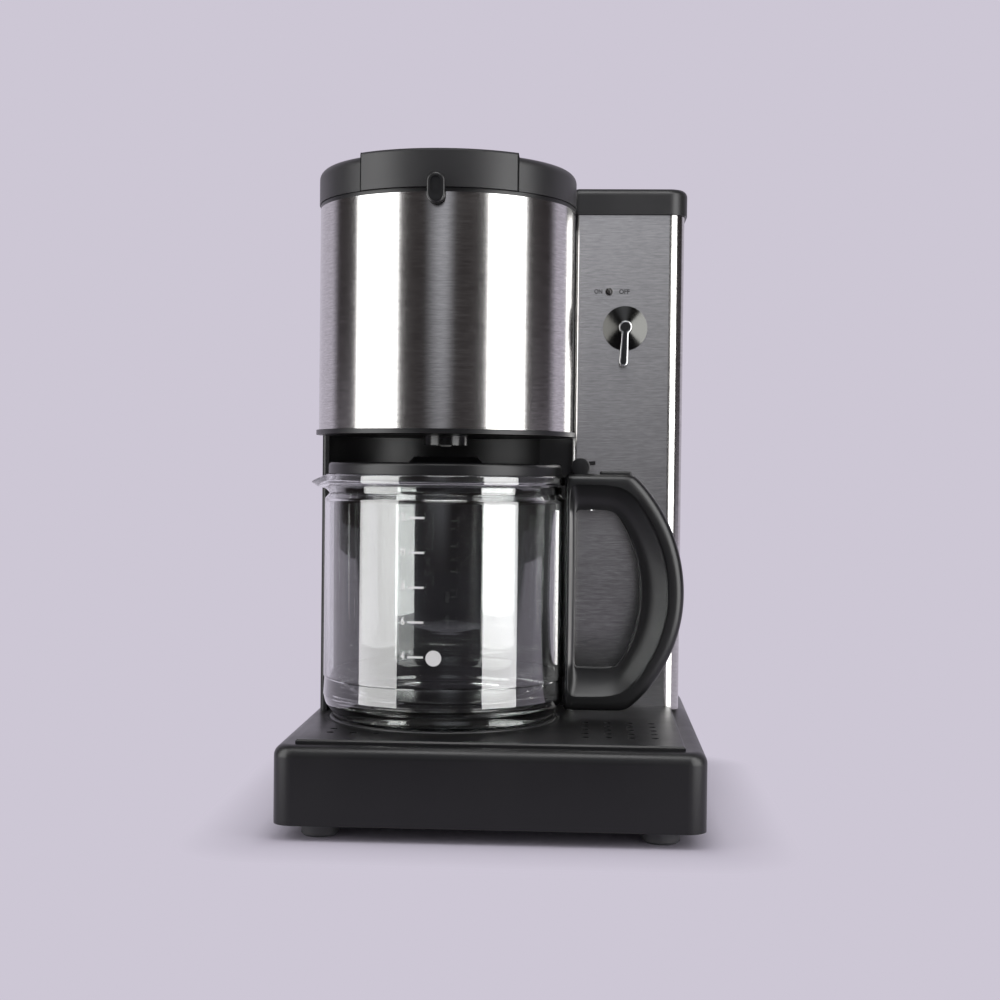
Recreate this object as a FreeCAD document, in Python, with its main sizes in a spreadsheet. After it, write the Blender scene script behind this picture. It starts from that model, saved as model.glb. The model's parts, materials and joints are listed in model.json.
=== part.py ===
import FreeCAD, Part
import math
import os
import Sketcher

# A drip coffee maker with a steel brew head over a glass carafe, a water tower
# at its right and a warming plate in its base. The front faces -Y, +Z is up and
# the origin is on the floor, under the middle of the base. Millimetres.

SIZES = {
    # base
    "base_width": 218, "base_depth": 230, "foot_height": 8, "base_top": 48,
    "base_corner": 10, "base_edge": 6, "base_wall": 2.5, "cover_thick": 2.2,
    "foot_radius": 9.5, "foot_inset_x": 22, "foot_inset_y": 20, "foot_dimple": 4.5,
    "screw_shank": 1.5, "screw_head": 3, "screw_inset": 36, "screw_length": 14,
    "platform_inset": 11, "platform_margin": 5.35, "platform_front": 8, "platform_thick": 2.2, "platform_edge": 0.8,
    "perf_radius": 2, "perf_pitch": 12,
    # warming plate and heater
    "plate_radius": 63, "plate_rise": 0.8, "plate_thick": 1.6, "plate_lip": 5, "seal_width": 2.5,
    "heater_bend": 42, "heater_radius": 4.5, "heater_leg": 22, "clamp_width": 12,
    "stat_radius": 8, "stat_height": 9, "fuse_radius": 2.4, "fuse_length": 16,
    "gland_radius": 7, "gland_bore": 4, "gland_height": 24, "gland_flange": 2.5,
    # brew head
    "head_x": -31, "head_y": -18, "basket_gap": 4.9, "head_bottom": 208, "head_top": 329,
    "sheet_thick": 0.8, "flange_thick": 2.5, "flange_out": 1.4, "liner_wall": 2.4, "liner_top": 326,
    "rim_thick": 2, "nozzle_radius": 12.5, "nozzle_bottom": 200.5, "nozzle_wall": 2.2,
    "basket_wall": 2, "basket_top_radius": 62, "basket_low_radius": 32, "basket_floor": 224,
    "basket_flange": 1.8, "seat_radius": 4.4, "valve_stem": 3.2, "valve_disc": 7, "valve_tip": 0.7,
    "valve_seat": 0.9, "clip_radius": 6, "clip_thick": 1.6, "clip_rise": 7, "guide_rise": 1.5, "guide_height": 4,
    "coil_radius": 5, "wire_radius": 0.5, "spring_turns": 4,
    # brew lid
    "lid_height": 18.5, "lid_edge": 5, "band_width": 82, "band_rise": 1.2, "band_out": 1.2,
    "tab_width": 9.4, "tab_height": 15.4, "tab_out": 6, "tab_rise": 6.4, "tab_rim": 2, "tab_sink": 1.2, "spreader_radius": 38, "spreader_drop": 7,
    "spreader_hole": 1.5, "lid_pin_y": 78, "lid_pin_z": 338, "lid_pin_radius": 2, "knuckle_radius": 6.2,
    "tongue_width": 44, "lug_thick": 6,
    # column and tower
    "bay_gap": 2.4, "column_left": 104, "wing_front": 5, "column_front": 34, "column_top": 331,
    "wall": 2.5, "body_rear": 112, "cover_plate": 2.5, "column_corner": 2.2,
    "tower_left": 38.5, "tower_right": 102.8, "tower_front": 30, "tower_top": 336,
    "tower_corner": 9, "tower_bend": 3,
    "cap_height": 15.2, "cap_out": 1.5, "cap_wall": 2.4, "cap_corner": 4,
    "cap_pin_inset": 1.5, "cap_knuckle": 2.7, "cap_pin_radius": 1.4, "ear_width": 6, "ear_inset": 14,
    "tank_wall": 2.2, "tank_front": 50, "tank_back_front": 80, "tank_back_left": 62,
    "tank_top": 333, "outlet_radius": 5, "outlet_drop": 14, "hose_radius": 4.2, "hose_bore": 2.6,
    # switch
    "switch_x": 68.7, "switch_z": 270.4, "dish_radius": 12.9, "dish_height": 3.2,
    "switch_depth": 15, "switch_size": 22, "shaft_radius": 3, "lever_head": 3.6, "lever_tip": 2.4,
    "lever_length": 20, "lever_thick": 3.4, "lever_lift": 2.2, "inlay_thick": 0.8,
    "pilot_x": 59.2, "pilot_z": 291.6, "pilot_radius": 2.2,
    # carafe
    "glass_radius": 66.5, "glass_wall": 2.6, "glass_floor": 8, "glass_foot": 57, "glass_heel": 10,
    "shoulder_z": 168, "groove_z": 176, "groove_radius": 63.8, "rim_z": 184, "spout_out": 8,
    "spout_width": 15, "carafe_gap": 0.2,
    "cup_lid_radius": 64.6, "cup_lid_height": 6.2, "dome_radius": 21, "dome_height": 3.6, "plug_depth": 5,
    "cup_pin_radius": 1.3, "cup_pin_out": 74, "cup_pin_z": 189.2, "cup_knuckle": 3, "thumb_length": 9,
    "thumb_rise": 3.4, "arm_width": 10, "ear_thick": 3, "drip_hole": 4,
    # handle
    "handle_width": 23, "handle_top": 185.6, "handle_low": 55.5, "handle_out": 101.3, "handle_mid": 120,
    "handle_shoulder": 73, "handle_heel": 70, "opening_left": 41.6, "opening_top": 167, "opening_low": 77,
    "opening_out": 77, "opening_shoulder": 55, "opening_heel": 64, "handle_round": 3.5,
    "rim_width": 8, "recess_depth": 1.6, "opening_round": 5, "strap_height": 3.4, "strap_thick": 0.8,
    "tongue_out": 85, "tongue_half": 5.5, "strap_screw_out": 80,
    # fits
    "fit_gap": 0.3, "run_gap": 0.05,
}

doc = FreeCAD.newDocument("coffee_maker")
sheet = doc.addObject("Spreadsheet::Sheet", "Sheet")


class Size:
    """A size as the sheet knows it: its expression and its present value."""

    def __init__(self, text, value):
        self.text = text
        self.value = float(value)

    def _join(self, sign, other, value, swap=False):
        theirs = other.text if isinstance(other, Size) else repr(other)
        first, second = (theirs, self.text) if swap else (self.text, theirs)
        return Size(f"({first} {sign} {second})", value)

    def __add__(self, other):
        return self._join("+", other, self.value + float(other))

    def __radd__(self, other):
        return self._join("+", other, float(other) + self.value, True)

    def __sub__(self, other):
        return self._join("-", other, self.value - float(other))

    def __rsub__(self, other):
        return self._join("-", other, float(other) - self.value, True)

    def __mul__(self, other):
        return self._join("*", other, self.value * float(other))

    def __rmul__(self, other):
        return self._join("*", other, float(other) * self.value, True)

    def __truediv__(self, other):
        return self._join("/", other, self.value / float(other))

    def __neg__(self):
        return 0 - self

    def __float__(self):
        return self.value


def root(size):
    return Size(f"sqrt({size.text})", math.sqrt(size.value))


class Sizes:
    """The sheet's named sizes, as attributes."""


size = Sizes()
for row, (alias, number) in enumerate(SIZES.items(), start=1):
    sheet.set(f"A{row}", str(number))
    sheet.setAlias(f"A{row}", alias)
    setattr(size, alias, Size(f"Sheet.{alias}", number))
doc.recompute()

nodes = []


def bind(thing, name, amount):
    """Tie a property of a document object to an expression."""
    if isinstance(amount, Size):
        thing.setExpression(name, amount.text)
    else:
        thing.setExpression(name, repr(float(amount)))


def put(thing, x=0, y=0, z=0):
    """Place an object, with its place tied to the sheet."""
    for name, amount in zip("xyz", (x, y, z)):
        bind(thing, f"Placement.Base.{name}", amount)


def new_body(label, x=0, y=0, z=0, kept=True):
    body = doc.addObject("PartDesign::Body", label)
    body.Label = label
    put(body, x, y, z)
    if kept:
        nodes.append(body)
    return body


def sketch_on(body, role, level=0):
    """A sketch on one of the body's own origin planes, lifted along the plane's normal."""
    plane = next(f for f in body.Origin.OriginFeatures if f.Role == role)
    made = body.newObject("Sketcher::SketchObject", f"{body.Name}_sketch")
    made.AttachmentSupport = [(plane, "")]
    made.MapMode = "FlatFace"
    bind(made, "AttachmentOffset.Base.z", level)
    return made


def fix(made, kind, first, second, amount):
    """Hold one coordinate of a sketch point at a size."""
    made.addConstraint(Sketcher.Constraint(kind, -1, 1, first, second, float(amount)))
    if isinstance(amount, Size):
        made.setExpression(f"Constraints[{made.ConstraintCount - 1}]", amount.text)


def ring(made, across, up, radius):
    """A circle about a point of the sketch."""
    centre = FreeCAD.Vector(float(across), float(up), 0)
    geo = made.addGeometry(Part.Circle(centre, FreeCAD.Vector(0, 0, 1), float(radius)), False)
    fix(made, "DistanceX", geo, 3, across)
    fix(made, "DistanceY", geo, 3, up)
    made.addConstraint(Sketcher.Constraint("Radius", geo, float(radius)))
    if isinstance(radius, Size):
        made.setExpression(f"Constraints[{made.ConstraintCount - 1}]", radius.text)


def outline(made, corners):
    """A closed outline. A corner is (across, up) after a straight run, or (across, up, radius)
    after an arc, whose centre is left of the run for a positive radius and right for a negative one."""
    count = len(corners)
    first = made.GeometryCount
    arcs = {}
    for index, corner in enumerate(corners):
        start = FreeCAD.Vector(*(float(c) for c in corners[index - 1][:2]), 0)
        end = FreeCAD.Vector(*(float(c) for c in corner[:2]), 0)
        if len(corner) == 2:
            made.addGeometry(Part.LineSegment(start, end), False)
            continue
        radius = float(corner[2])
        chord = end - start
        side = FreeCAD.Vector(-chord.y, chord.x, 0).normalize()
        sagitta = abs(radius) - math.sqrt(max(radius * radius - chord.Length ** 2 / 4, 0))
        bulge = -sagitta if radius > 0 else sagitta
        middle = (start + end) * 0.5 + side * bulge
        geo = made.addGeometry(Part.Arc(start, middle, end), False)
        arcs[geo] = (corner[2], radius > 0)
    for index, corner in enumerate(corners):
        geo, after = first + index, first + (index + 1) % count
        end_point = 2 if arcs.get(geo, (0, True))[1] else 1
        start_point = 1 if arcs.get(after, (0, True))[1] else 2
        made.addConstraint(Sketcher.Constraint("Coincident", geo, end_point, after, start_point))
        fix(made, "DistanceX", geo, end_point, corner[0])
        fix(made, "DistanceY", geo, end_point, corner[1])
    for geo, (radius, left) in arcs.items():
        made.addConstraint(Sketcher.Constraint("Radius", geo, abs(float(radius))))
        if isinstance(radius, Size):
            text = radius.text if left else f"(0 - {radius.text})"
            made.setExpression(f"Constraints[{made.ConstraintCount - 1}]", text)


def box_outline(made, left, right, low, high):
    outline(made, [(left, low), (right, low), (right, high), (left, high)])


def pad(body, made, length, both=False, back=False):
    feature = body.newObject("PartDesign::Pad", f"{body.Name}_pad")
    feature.Profile = made
    feature.Midplane = both
    feature.Reversed = back
    bind(feature, "Length", length)
    doc.recompute()
    return feature


def pocket(body, made, length, both=False, back=False):
    """Cut a sketch out of a body. The cut runs against the sketch's normal unless it is turned back."""
    doc.recompute()
    before = body.Shape.Volume
    feature = body.newObject("PartDesign::Pocket", f"{body.Name}_pocket")
    feature.Profile = made
    feature.Midplane = both
    feature.Reversed = back
    bind(feature, "Length", length)
    doc.recompute()
    if body.Shape.Volume > before - 1e-6:
        raise RuntimeError(f"a pocket of {body.Label} cuts nothing")
    return feature


def turn(body, made, angle=360, cut=False):
    """Revolve a sketch about its upright axis."""
    kind = "PartDesign::Groove" if cut else "PartDesign::Revolution"
    feature = body.newObject(kind, f"{body.Name}_turn")
    feature.Profile = made
    feature.ReferenceAxis = (made, ["V_Axis"])
    feature.Angle = angle
    doc.recompute()
    return feature


def turned(label, corners, x=0, y=0, z=0, kept=True):
    """A round piece from its half section, about an upright axis."""
    body = new_body(label, x, y, z, kept)
    made = sketch_on(body, "XZ_Plane")
    outline(made, corners)
    turn(body, made)
    return body


def block(label, left, right, front, rear, low, high, kept=True):
    body = new_body(label, kept=kept)
    made = sketch_on(body, "XY_Plane", low)
    box_outline(made, left, right, front, rear)
    pad(body, made, high - low)
    return body


def soften(body, radius, choose, kind="Fillet"):
    """Round or chamfer the edges of a body that a test picks."""
    doc.recompute()
    base = body.Tip
    picked = [f"Edge{i}" for i, edge in enumerate(base.Shape.Edges, start=1) if choose(edge)]
    if not picked:
        raise RuntimeError(f"no edge of {body.Label} to soften")
    feature = body.newObject(f"PartDesign::{kind}", f"{body.Name}_{kind.lower()}")
    feature.Base = (base, picked)
    bind(feature, "Radius" if kind == "Fillet" else "Size", radius)
    doc.recompute()
    return feature


def near(amount, place, slack=0.02):
    return abs(float(amount) - float(place)) < slack


def upright(edge):
    box = edge.BoundBox
    return box.ZLength > 1 and box.XLength < 0.01 and box.YLength < 0.01


def level(edge, place):
    box = edge.BoundBox
    return box.ZLength < 0.01 and near(box.ZMin, place)


def group(label, pieces):
    """Several like solids under one name."""
    made = doc.addObject("Part::Compound", label)
    made.Label = label
    made.Links = pieces
    nodes.append(made)
    return made


def round_box(made, left, right, low, high, radius):
    """A box outline with rounded corners."""
    outline(made, [
        (right - radius, low), (right, low + radius, radius),
        (right, high - radius), (right - radius, high, radius), (left + radius, high),
        (left, high - radius, radius), (left, low + radius), (left + radius, low, radius),
    ])


def lay(body, turn_about_x):
    """Turn a round piece's axis from upright to level."""
    body.Placement.Rotation = FreeCAD.Rotation(FreeCAD.Vector(1, 0, 0), turn_about_x)


FRONTWARD = 90
REARWARD = -90

# shared places
half_width = size.base_width / 2
half_depth = size.base_depth / 2
base_roof = size.base_top - size.base_wall
cover_top = size.foot_height + size.cover_thick
platform_top = size.base_top + size.platform_thick
plate_top = platform_top + size.plate_rise
plate_under = plate_top - size.plate_thick
seal_radius = size.plate_radius + size.seal_width
liner_in = size.basket_top_radius + size.basket_gap
liner_out = liner_in + size.liner_wall
head_radius = liner_out + size.fit_gap / 2 + size.sheet_thick
bay_radius = head_radius + size.bay_gap
heater_z = plate_under - size.heater_radius
leg_end = size.head_y + size.heater_leg
outlet_x = (size.tower_left + size.tower_right) / 2
tank_rear = size.body_rear - size.fit_gap
outlet_y = (size.tank_front + tank_rear) / 2
riser_x = size.head_x - size.heater_bend
port_y = size.head_y + bay_radius + size.wall + size.hose_radius + 2 * size.fit_gap
lid_low = size.column_top + size.fit_gap
lid_high = lid_low + size.lid_height
lid_radius = head_radius + 2 * size.fit_gap
cap_low = size.tower_top + size.fit_gap
cap_pin_y = size.body_rear - size.cap_pin_inset
cap_pin_z = cap_low + size.cap_knuckle
tank_left = size.tower_left + size.sheet_thick + size.fit_gap
tank_right = size.tower_right - size.sheet_thick - size.fit_gap
EARS = (tank_left + size.ear_inset, tank_right - size.ear_inset - size.ear_width)
FEET = [(sx, sy) for sx in (-1, 1) for sy in (-1, 1)]


def foot_place(side, end):
    return side * (half_width - size.foot_inset_x), end * (half_depth - size.foot_inset_y)


def screw_place(side, end):
    return side * (half_width - size.screw_inset), end * (half_depth - size.screw_inset / 3)


def base_housing():
    body = new_body("base_housing")
    plan = sketch_on(body, "XY_Plane", size.foot_height)
    box_outline(plan, -half_width, half_width, -half_depth, half_depth)
    pad(body, plan, size.base_top - size.foot_height)
    soften(body, size.base_corner, upright)
    soften(body, size.base_edge, lambda edge: level(edge, size.base_top))
    hollow = sketch_on(body, "XY_Plane", size.foot_height)
    inner = size.base_wall
    round_box(hollow, inner - half_width, half_width - inner, inner - half_depth, half_depth - inner,
              size.base_corner - inner)
    pocket(body, hollow, base_roof - size.foot_height, back=True)
    bosses = sketch_on(body, "XY_Plane", base_roof)
    for side, end in FEET:
        ring(bosses, *screw_place(side, end), size.screw_head)
    pad(body, bosses, base_roof - cover_top, back=True)
    pilots = sketch_on(body, "XY_Plane", cover_top)
    for side, end in FEET:
        ring(pilots, *screw_place(side, end), size.screw_shank)
    pocket(body, pilots, size.screw_length, back=True)
    mouths = sketch_on(body, "XY_Plane", size.base_top)
    ring(mouths, size.head_x, size.head_y, seal_radius)
    ring(mouths, outlet_x, outlet_y, size.outlet_radius + size.fit_gap)
    ring(mouths, riser_x, port_y, size.hose_radius + size.fit_gap)
    pocket(body, mouths, size.base_wall)
    inlet = sketch_on(body, "XZ_Plane", -half_depth)
    ring(inlet, size.head_x, size.gland_height, size.gland_radius)
    pocket(body, inlet, size.base_wall, back=True)


def base_cover():
    inset = size.base_wall + size.fit_gap
    body = new_body("base_cover")
    plan = sketch_on(body, "XY_Plane", size.foot_height)
    round_box(plan, inset - half_width, half_width - inset, inset - half_depth, half_depth - inset,
              size.base_corner - inset)
    pad(body, plan, size.cover_thick)
    holes = sketch_on(body, "XY_Plane", size.foot_height)
    for side, end in FEET:
        ring(holes, *screw_place(side, end), size.screw_shank + size.fit_gap)
    pocket(body, holes, size.cover_thick, back=True)
    vents = sketch_on(body, "XY_Plane", size.foot_height)
    for index in range(-3, 4):
        middle = size.perf_pitch * index
        box_outline(vents, -4 * size.perf_pitch, 4 * size.perf_pitch,
                    middle - size.perf_radius, middle + size.perf_radius)
    pocket(body, vents, size.cover_thick, back=True)


def feet():
    made = []
    dimple = size.foot_height / 3
    for side, end in FEET:
        x, y = foot_place(side, end)
        corners = [
            (size.foot_dimple, 0), (size.foot_radius - size.foot_dimple / 4, 0),
            (size.foot_radius, size.foot_dimple / 4), (size.foot_radius, size.foot_height),
            (0, size.foot_height), (0, dimple), (size.foot_dimple, dimple),
        ]
        made.append(turned(f"foot_{len(made) + 1}", corners, x, y, kept=False))
    group("rubber_feet", made)


def base_screws():
    made = []
    head_low = size.foot_height - size.screw_shank
    tip = size.foot_height + size.screw_length
    for side, end in FEET:
        x, y = screw_place(side, end)
        corners = [
            (0, head_low), (size.screw_head, head_low), (size.screw_head, size.foot_height),
            (size.screw_shank, size.foot_height), (size.screw_shank, tip), (0, tip),
        ]
        made.append(turned(f"base_screw_{len(made) + 1}", corners, x, y, kept=False))
    group("base_screws", made)


def platform_plate():
    side = half_width - size.platform_inset
    front = size.platform_front - half_depth
    rear = size.tower_front - size.fit_gap
    round_edge = bay_radius - size.fit_gap
    reach_right = root(round_edge * round_edge - (rear - size.head_y) * (rear - size.head_y))
    left_out = round_edge - size.platform_margin
    left = size.head_x - left_out
    reach_left = root(round_edge * round_edge - left_out * left_out)
    body = new_body("platform_plate")
    plan = sketch_on(body, "XY_Plane", size.base_top)
    outline(plan, [
        (left, front), (side, front), (side, rear), (size.head_x + reach_right, rear),
        (left, size.head_y + reach_left, round_edge),
    ])
    pad(body, plan, size.platform_thick)
    soften(body, size.platform_edge, lambda edge: level(edge, platform_top) and near(edge.BoundBox.YMin, front),
           "Chamfer")
    mouth = sketch_on(body, "XY_Plane", platform_top)
    ring(mouth, size.head_x, size.head_y, seal_radius)
    pocket(body, mouth, size.platform_thick)
    perforations = sketch_on(body, "XY_Plane", platform_top)
    edge = size.perf_pitch + size.perf_radius
    for way, edge_x in ((1, side), (-1, left)):
        for column in range(4):
            for row in range(5):
                x = edge_x - way * (edge + size.perf_pitch * column)
                y = front + 2 * edge - size.perf_radius * 2 + size.perf_pitch * row
                away = math.hypot(float(x - size.head_x), float(y - size.head_y))
                if away > float(seal_radius + 2 * size.perf_radius):
                    ring(perforations, x, y, size.perf_radius)
    pocket(body, perforations, size.platform_thick)


def warming_plate():
    radius, wall = size.plate_radius, size.plate_thick
    skirt = plate_top - size.plate_lip
    turned("warming_plate", [
        (0, plate_under), (radius - wall, plate_under), (radius - wall, skirt), (radius, skirt),
        (radius, plate_top - wall), (radius - wall, plate_top, wall), (0, plate_top),
    ], size.head_x, size.head_y)
    lip = base_roof - size.plate_thick
    turned("plate_seal", [
        (radius, skirt - wall), (seal_radius + wall, lip), (seal_radius + wall, base_roof),
        (seal_radius, base_roof), (seal_radius, platform_top), (radius, platform_top),
    ], size.head_x, size.head_y)


def heater():
    """A water tube and a heating rod bent into one horseshoe under the warming plate."""
    bend = doc.addObject("Part::Torus", "heater_bend_part")
    bind(bend, "Radius1", size.heater_bend)
    bind(bend, "Radius2", size.heater_radius)
    bend.Angle3 = 180
    bend.Placement.Rotation = FreeCAD.Rotation(FreeCAD.Vector(0, 0, 1), 180)
    put(bend, size.head_x, size.head_y, heater_z)
    pieces = [bend]
    for side in (-1, 1):
        leg = doc.addObject("Part::Cylinder", f"heater_leg_{len(pieces)}")
        bind(leg, "Radius", size.heater_radius)
        bind(leg, "Height", leg_end - size.head_y)
        lay(leg, REARWARD)
        put(leg, size.head_x + side * size.heater_bend, size.head_y, heater_z)
        pieces.append(leg)
    tube = doc.addObject("Part::MultiFuse", "heater_tube")
    tube.Label = "heater_tube"
    tube.Shapes = pieces
    nodes.append(tube)
    low = heater_z - size.heater_radius
    reach = size.heater_bend + size.heater_radius
    block("heater_clamp", size.head_x - reach, size.head_x + reach, size.head_y,
          size.head_y + size.clamp_width, low - size.plate_thick, low)
    turned("thermostat", [
        (0, plate_under - size.stat_height), (size.stat_radius / 2, plate_under - size.stat_height),
        (size.stat_radius / 2, plate_under - size.stat_height / 2),
        (size.stat_radius, plate_under - size.stat_height / 2), (size.stat_radius, plate_under),
        (0, plate_under),
    ], size.head_x, size.head_y - size.heater_bend / 2)
    fuse = new_body("thermal_fuse", size.head_x, size.head_y - size.heater_bend / 2 + 2 * size.stat_radius,
                    plate_under - size.fuse_radius)
    section = sketch_on(fuse, "YZ_Plane")
    ring(section, 0, 0, size.fuse_radius)
    pad(fuse, section, size.fuse_length, both=True)
    leads = sketch_on(fuse, "YZ_Plane")
    ring(leads, 0, 0, size.fuse_radius / 4)
    pad(fuse, leads, 2 * size.fuse_length, both=True)


def cord_gland():
    flange = size.gland_radius + size.gland_flange
    body = turned("cord_gland", [
        (size.gland_bore, 0), (size.gland_radius, 0),
        (size.gland_radius, size.base_wall), (flange, size.base_wall),
        (flange, size.base_wall + size.gland_flange), (size.gland_bore, size.base_wall + size.gland_flange),
    ], size.head_x, half_depth, size.gland_height)
    lay(body, FRONTWARD)


def knuckle_outline(made, across, up, radius, foot):
    """A hinge ear seen along its pin: a round top about the pin on a straight stem."""
    outline(made, [
        (across - radius, foot), (across + radius, foot), (across + radius, up),
        (across, up + radius, radius), (across - radius, up, radius),
    ])


def rear_column():
    left = -size.column_left
    body = new_body("rear_column")
    plan = sketch_on(body, "XY_Plane", size.base_top)
    outline(plan, [
        (left, size.wing_front), (size.head_x, size.wing_front), (size.head_x, size.column_front),
        (size.tower_left, size.column_front), (size.tower_left, size.body_rear), (left, size.body_rear),
    ])
    pad(body, plan, size.column_top - size.base_top)
    soften(body, size.column_corner, lambda edge: upright(edge) and near(edge.BoundBox.XMin, left))
    bay = sketch_on(body, "XY_Plane", size.head_bottom)
    ring(bay, size.head_x, size.head_y, bay_radius)
    pocket(body, bay, size.head_bottom - size.base_top)
    seat = sketch_on(body, "XY_Plane", size.column_top)
    ring(seat, size.head_x, size.head_y, head_radius + size.fit_gap / 2)
    pocket(body, seat, size.column_top - size.head_bottom)
    skin = bay_radius + size.wall
    inner_front = size.column_front + size.wall
    reach_left = root(skin * skin - (size.column_front - size.head_y) * (size.column_front - size.head_y))
    reach_right = root(skin * skin - (inner_front - size.head_y) * (inner_front - size.head_y))
    hollow = sketch_on(body, "XY_Plane", size.column_top - size.wall)
    outline(hollow, [
        (left + size.wall, size.column_front), (size.head_x - reach_left, size.column_front),
        (size.head_x + reach_right, inner_front, -skin), (size.tower_left, inner_front),
        (size.tower_left, size.body_rear), (left + size.wall, size.body_rear),
    ])
    pocket(body, hollow, size.column_top - size.base_top - 2 * size.wall)
    half = size.tongue_width / 2 + size.fit_gap
    for place in (size.head_x - half - size.lug_thick, size.head_x + half):
        lug = sketch_on(body, "YZ_Plane", place)
        knuckle_outline(lug, size.lid_pin_y, size.lid_pin_z, size.knuckle_radius, size.column_top)
        pad(body, lug, size.lug_thick)
    bore = sketch_on(body, "YZ_Plane", size.head_x)
    ring(bore, size.lid_pin_y, size.lid_pin_z, size.lid_pin_radius)
    pocket(body, bore, 2 * (half + size.lug_thick), both=True)
    port = sketch_on(body, "XY_Plane", size.column_top)
    ring(port, size.head_x, port_y, size.hose_radius + size.fit_gap)
    pocket(body, port, size.wall)
    entry = sketch_on(body, "XY_Plane", size.base_top + size.wall)
    ring(entry, riser_x, port_y, size.hose_radius + size.fit_gap)
    pocket(body, entry, size.wall)


def rear_cover():
    body = new_body("rear_cover")
    face = sketch_on(body, "XZ_Plane", -size.body_rear)
    box_outline(face, -size.column_left, size.tower_right, size.base_top, size.column_top)
    pad(body, face, size.cover_plate, back=True)
    vents = sketch_on(body, "XZ_Plane", -size.body_rear)
    half = size.perf_pitch * 3
    for index in range(5):
        low = size.base_top + size.perf_pitch * (index + 2)
        box_outline(vents, size.head_x - half, size.head_x + half, low, low + size.perf_radius * 2)
    pocket(body, vents, size.cover_plate)


def tower_sleeve():
    left, right, front = size.tower_left, size.tower_right, size.tower_front
    thick = size.sheet_thick
    bend, bend_left = size.tower_corner - thick, size.tower_bend - thick
    body = new_body("tower_sleeve")
    plan = sketch_on(body, "XY_Plane", size.base_top)
    box_outline(plan, left, right, front, size.body_rear)
    pad(body, plan, size.tower_top - size.base_top)
    for radius, side in ((size.tower_corner, right), (size.tower_bend, left)):
        soften(body, radius, lambda edge: upright(edge) and near(edge.BoundBox.YMin, front)
               and near(edge.BoundBox.XMin, side))
    inside = sketch_on(body, "XY_Plane", size.tower_top)
    outline(inside, [
        (left + thick, front + thick + bend_left), (left + thick + bend_left, front + thick, bend_left),
        (right - thick - bend, front + thick), (right - thick, front + thick + bend, bend),
        (right - thick, size.body_rear), (left + thick, size.body_rear),
    ])
    pocket(body, inside, size.tower_top - size.base_top)
    window = sketch_on(body, "YZ_Plane", left + thick)
    box_outline(window, size.tank_back_front - 2 * size.fit_gap, size.body_rear, size.base_top, size.tower_top)
    pocket(body, window, thick)
    holes = sketch_on(body, "XZ_Plane", -front)
    ring(holes, size.switch_x, size.switch_z, size.shaft_radius + size.fit_gap)
    ring(holes, size.pilot_x, size.pilot_z, size.pilot_radius)
    pocket(body, holes, thick)


def water_tank():
    """The tank fills the tower and opens, behind the bay, into the column."""
    wall = size.tank_wall
    low = size.base_top
    back_low = size.base_top + size.wall + size.fit_gap
    back_high = size.column_top - size.wall - size.fit_gap
    body = new_body("water_tank")
    plan = sketch_on(body, "XY_Plane", low)
    box_outline(plan, tank_left, tank_right, size.tank_front, tank_rear)
    pad(body, plan, size.tank_top - low)
    back = sketch_on(body, "XY_Plane", back_low)
    box_outline(back, -size.tank_back_left, tank_left + wall, size.tank_back_front, tank_rear)
    pad(body, back, back_high - back_low)
    inside = sketch_on(body, "XY_Plane", size.tank_top)
    box_outline(inside, tank_left + wall, tank_right - wall, size.tank_front + wall, tank_rear - wall)
    pocket(body, inside, size.tank_top - low - wall)
    back_inside = sketch_on(body, "XY_Plane", back_high - wall)
    box_outline(back_inside, wall - size.tank_back_left, tank_left + 2 * wall,
                size.tank_back_front + wall, tank_rear - wall)
    pocket(body, back_inside, back_high - back_low - 2 * wall)
    outlet = sketch_on(body, "XY_Plane", low)
    ring(outlet, outlet_x, outlet_y, size.outlet_radius)
    pad(body, outlet, size.outlet_drop, back=True)
    bore = sketch_on(body, "XY_Plane", low + wall)
    ring(bore, outlet_x, outlet_y, size.hose_bore)
    pocket(body, bore, size.outlet_drop + wall)
    for place in EARS:
        ear = sketch_on(body, "YZ_Plane", place)
        knuckle_outline(ear, cap_pin_y, cap_pin_z, size.cap_knuckle - size.fit_gap, size.tank_top)
        pad(body, ear, size.ear_width)
    pin_bore = sketch_on(body, "YZ_Plane", EARS[0])
    ring(pin_bore, cap_pin_y, cap_pin_z, size.cap_pin_radius)
    pocket(body, pin_bore, 2 * size.tower_right, back=True)


def hose_path(points, bend):
    """Straight runs joined by tangent arcs of one radius."""
    edges = []
    start = points[0]
    for before, corner, after in zip(points, points[1:], points[2:]):
        inward = (before - corner).normalize()
        outward = (after - corner).normalize()
        half_angle = inward.getAngle(outward) / 2
        reach = bend / math.tan(half_angle)
        first = corner + inward * reach
        last = corner + outward * reach
        bisector = (inward + outward).normalize()
        middle = corner + bisector * (bend / math.sin(half_angle) - bend)
        edges.append(Part.LineSegment(start, first).toShape())
        edges.append(Part.Arc(first, middle, last).toShape())
        start = last
    edges.append(Part.LineSegment(start, points[-1]).toShape())
    return Part.Wire(edges)


def hose(label, places):
    """A soft hose along a path, open from end to end."""
    points = [FreeCAD.Vector(*(float(c) for c in place)) for place in places]
    path = hose_path(points, 2 * float(size.hose_radius))
    skins = []
    for radius in (float(size.hose_radius), float(size.hose_bore)):
        rim = Part.Wire(Part.makeCircle(radius, points[0], points[1] - points[0]))
        skins.append(path.makePipeShell([rim], True, True))
    node = doc.addObject("Part::Feature", label)
    node.Label = label
    node.Shape = skins[0].cut(skins[1])
    nodes.append(node)


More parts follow.
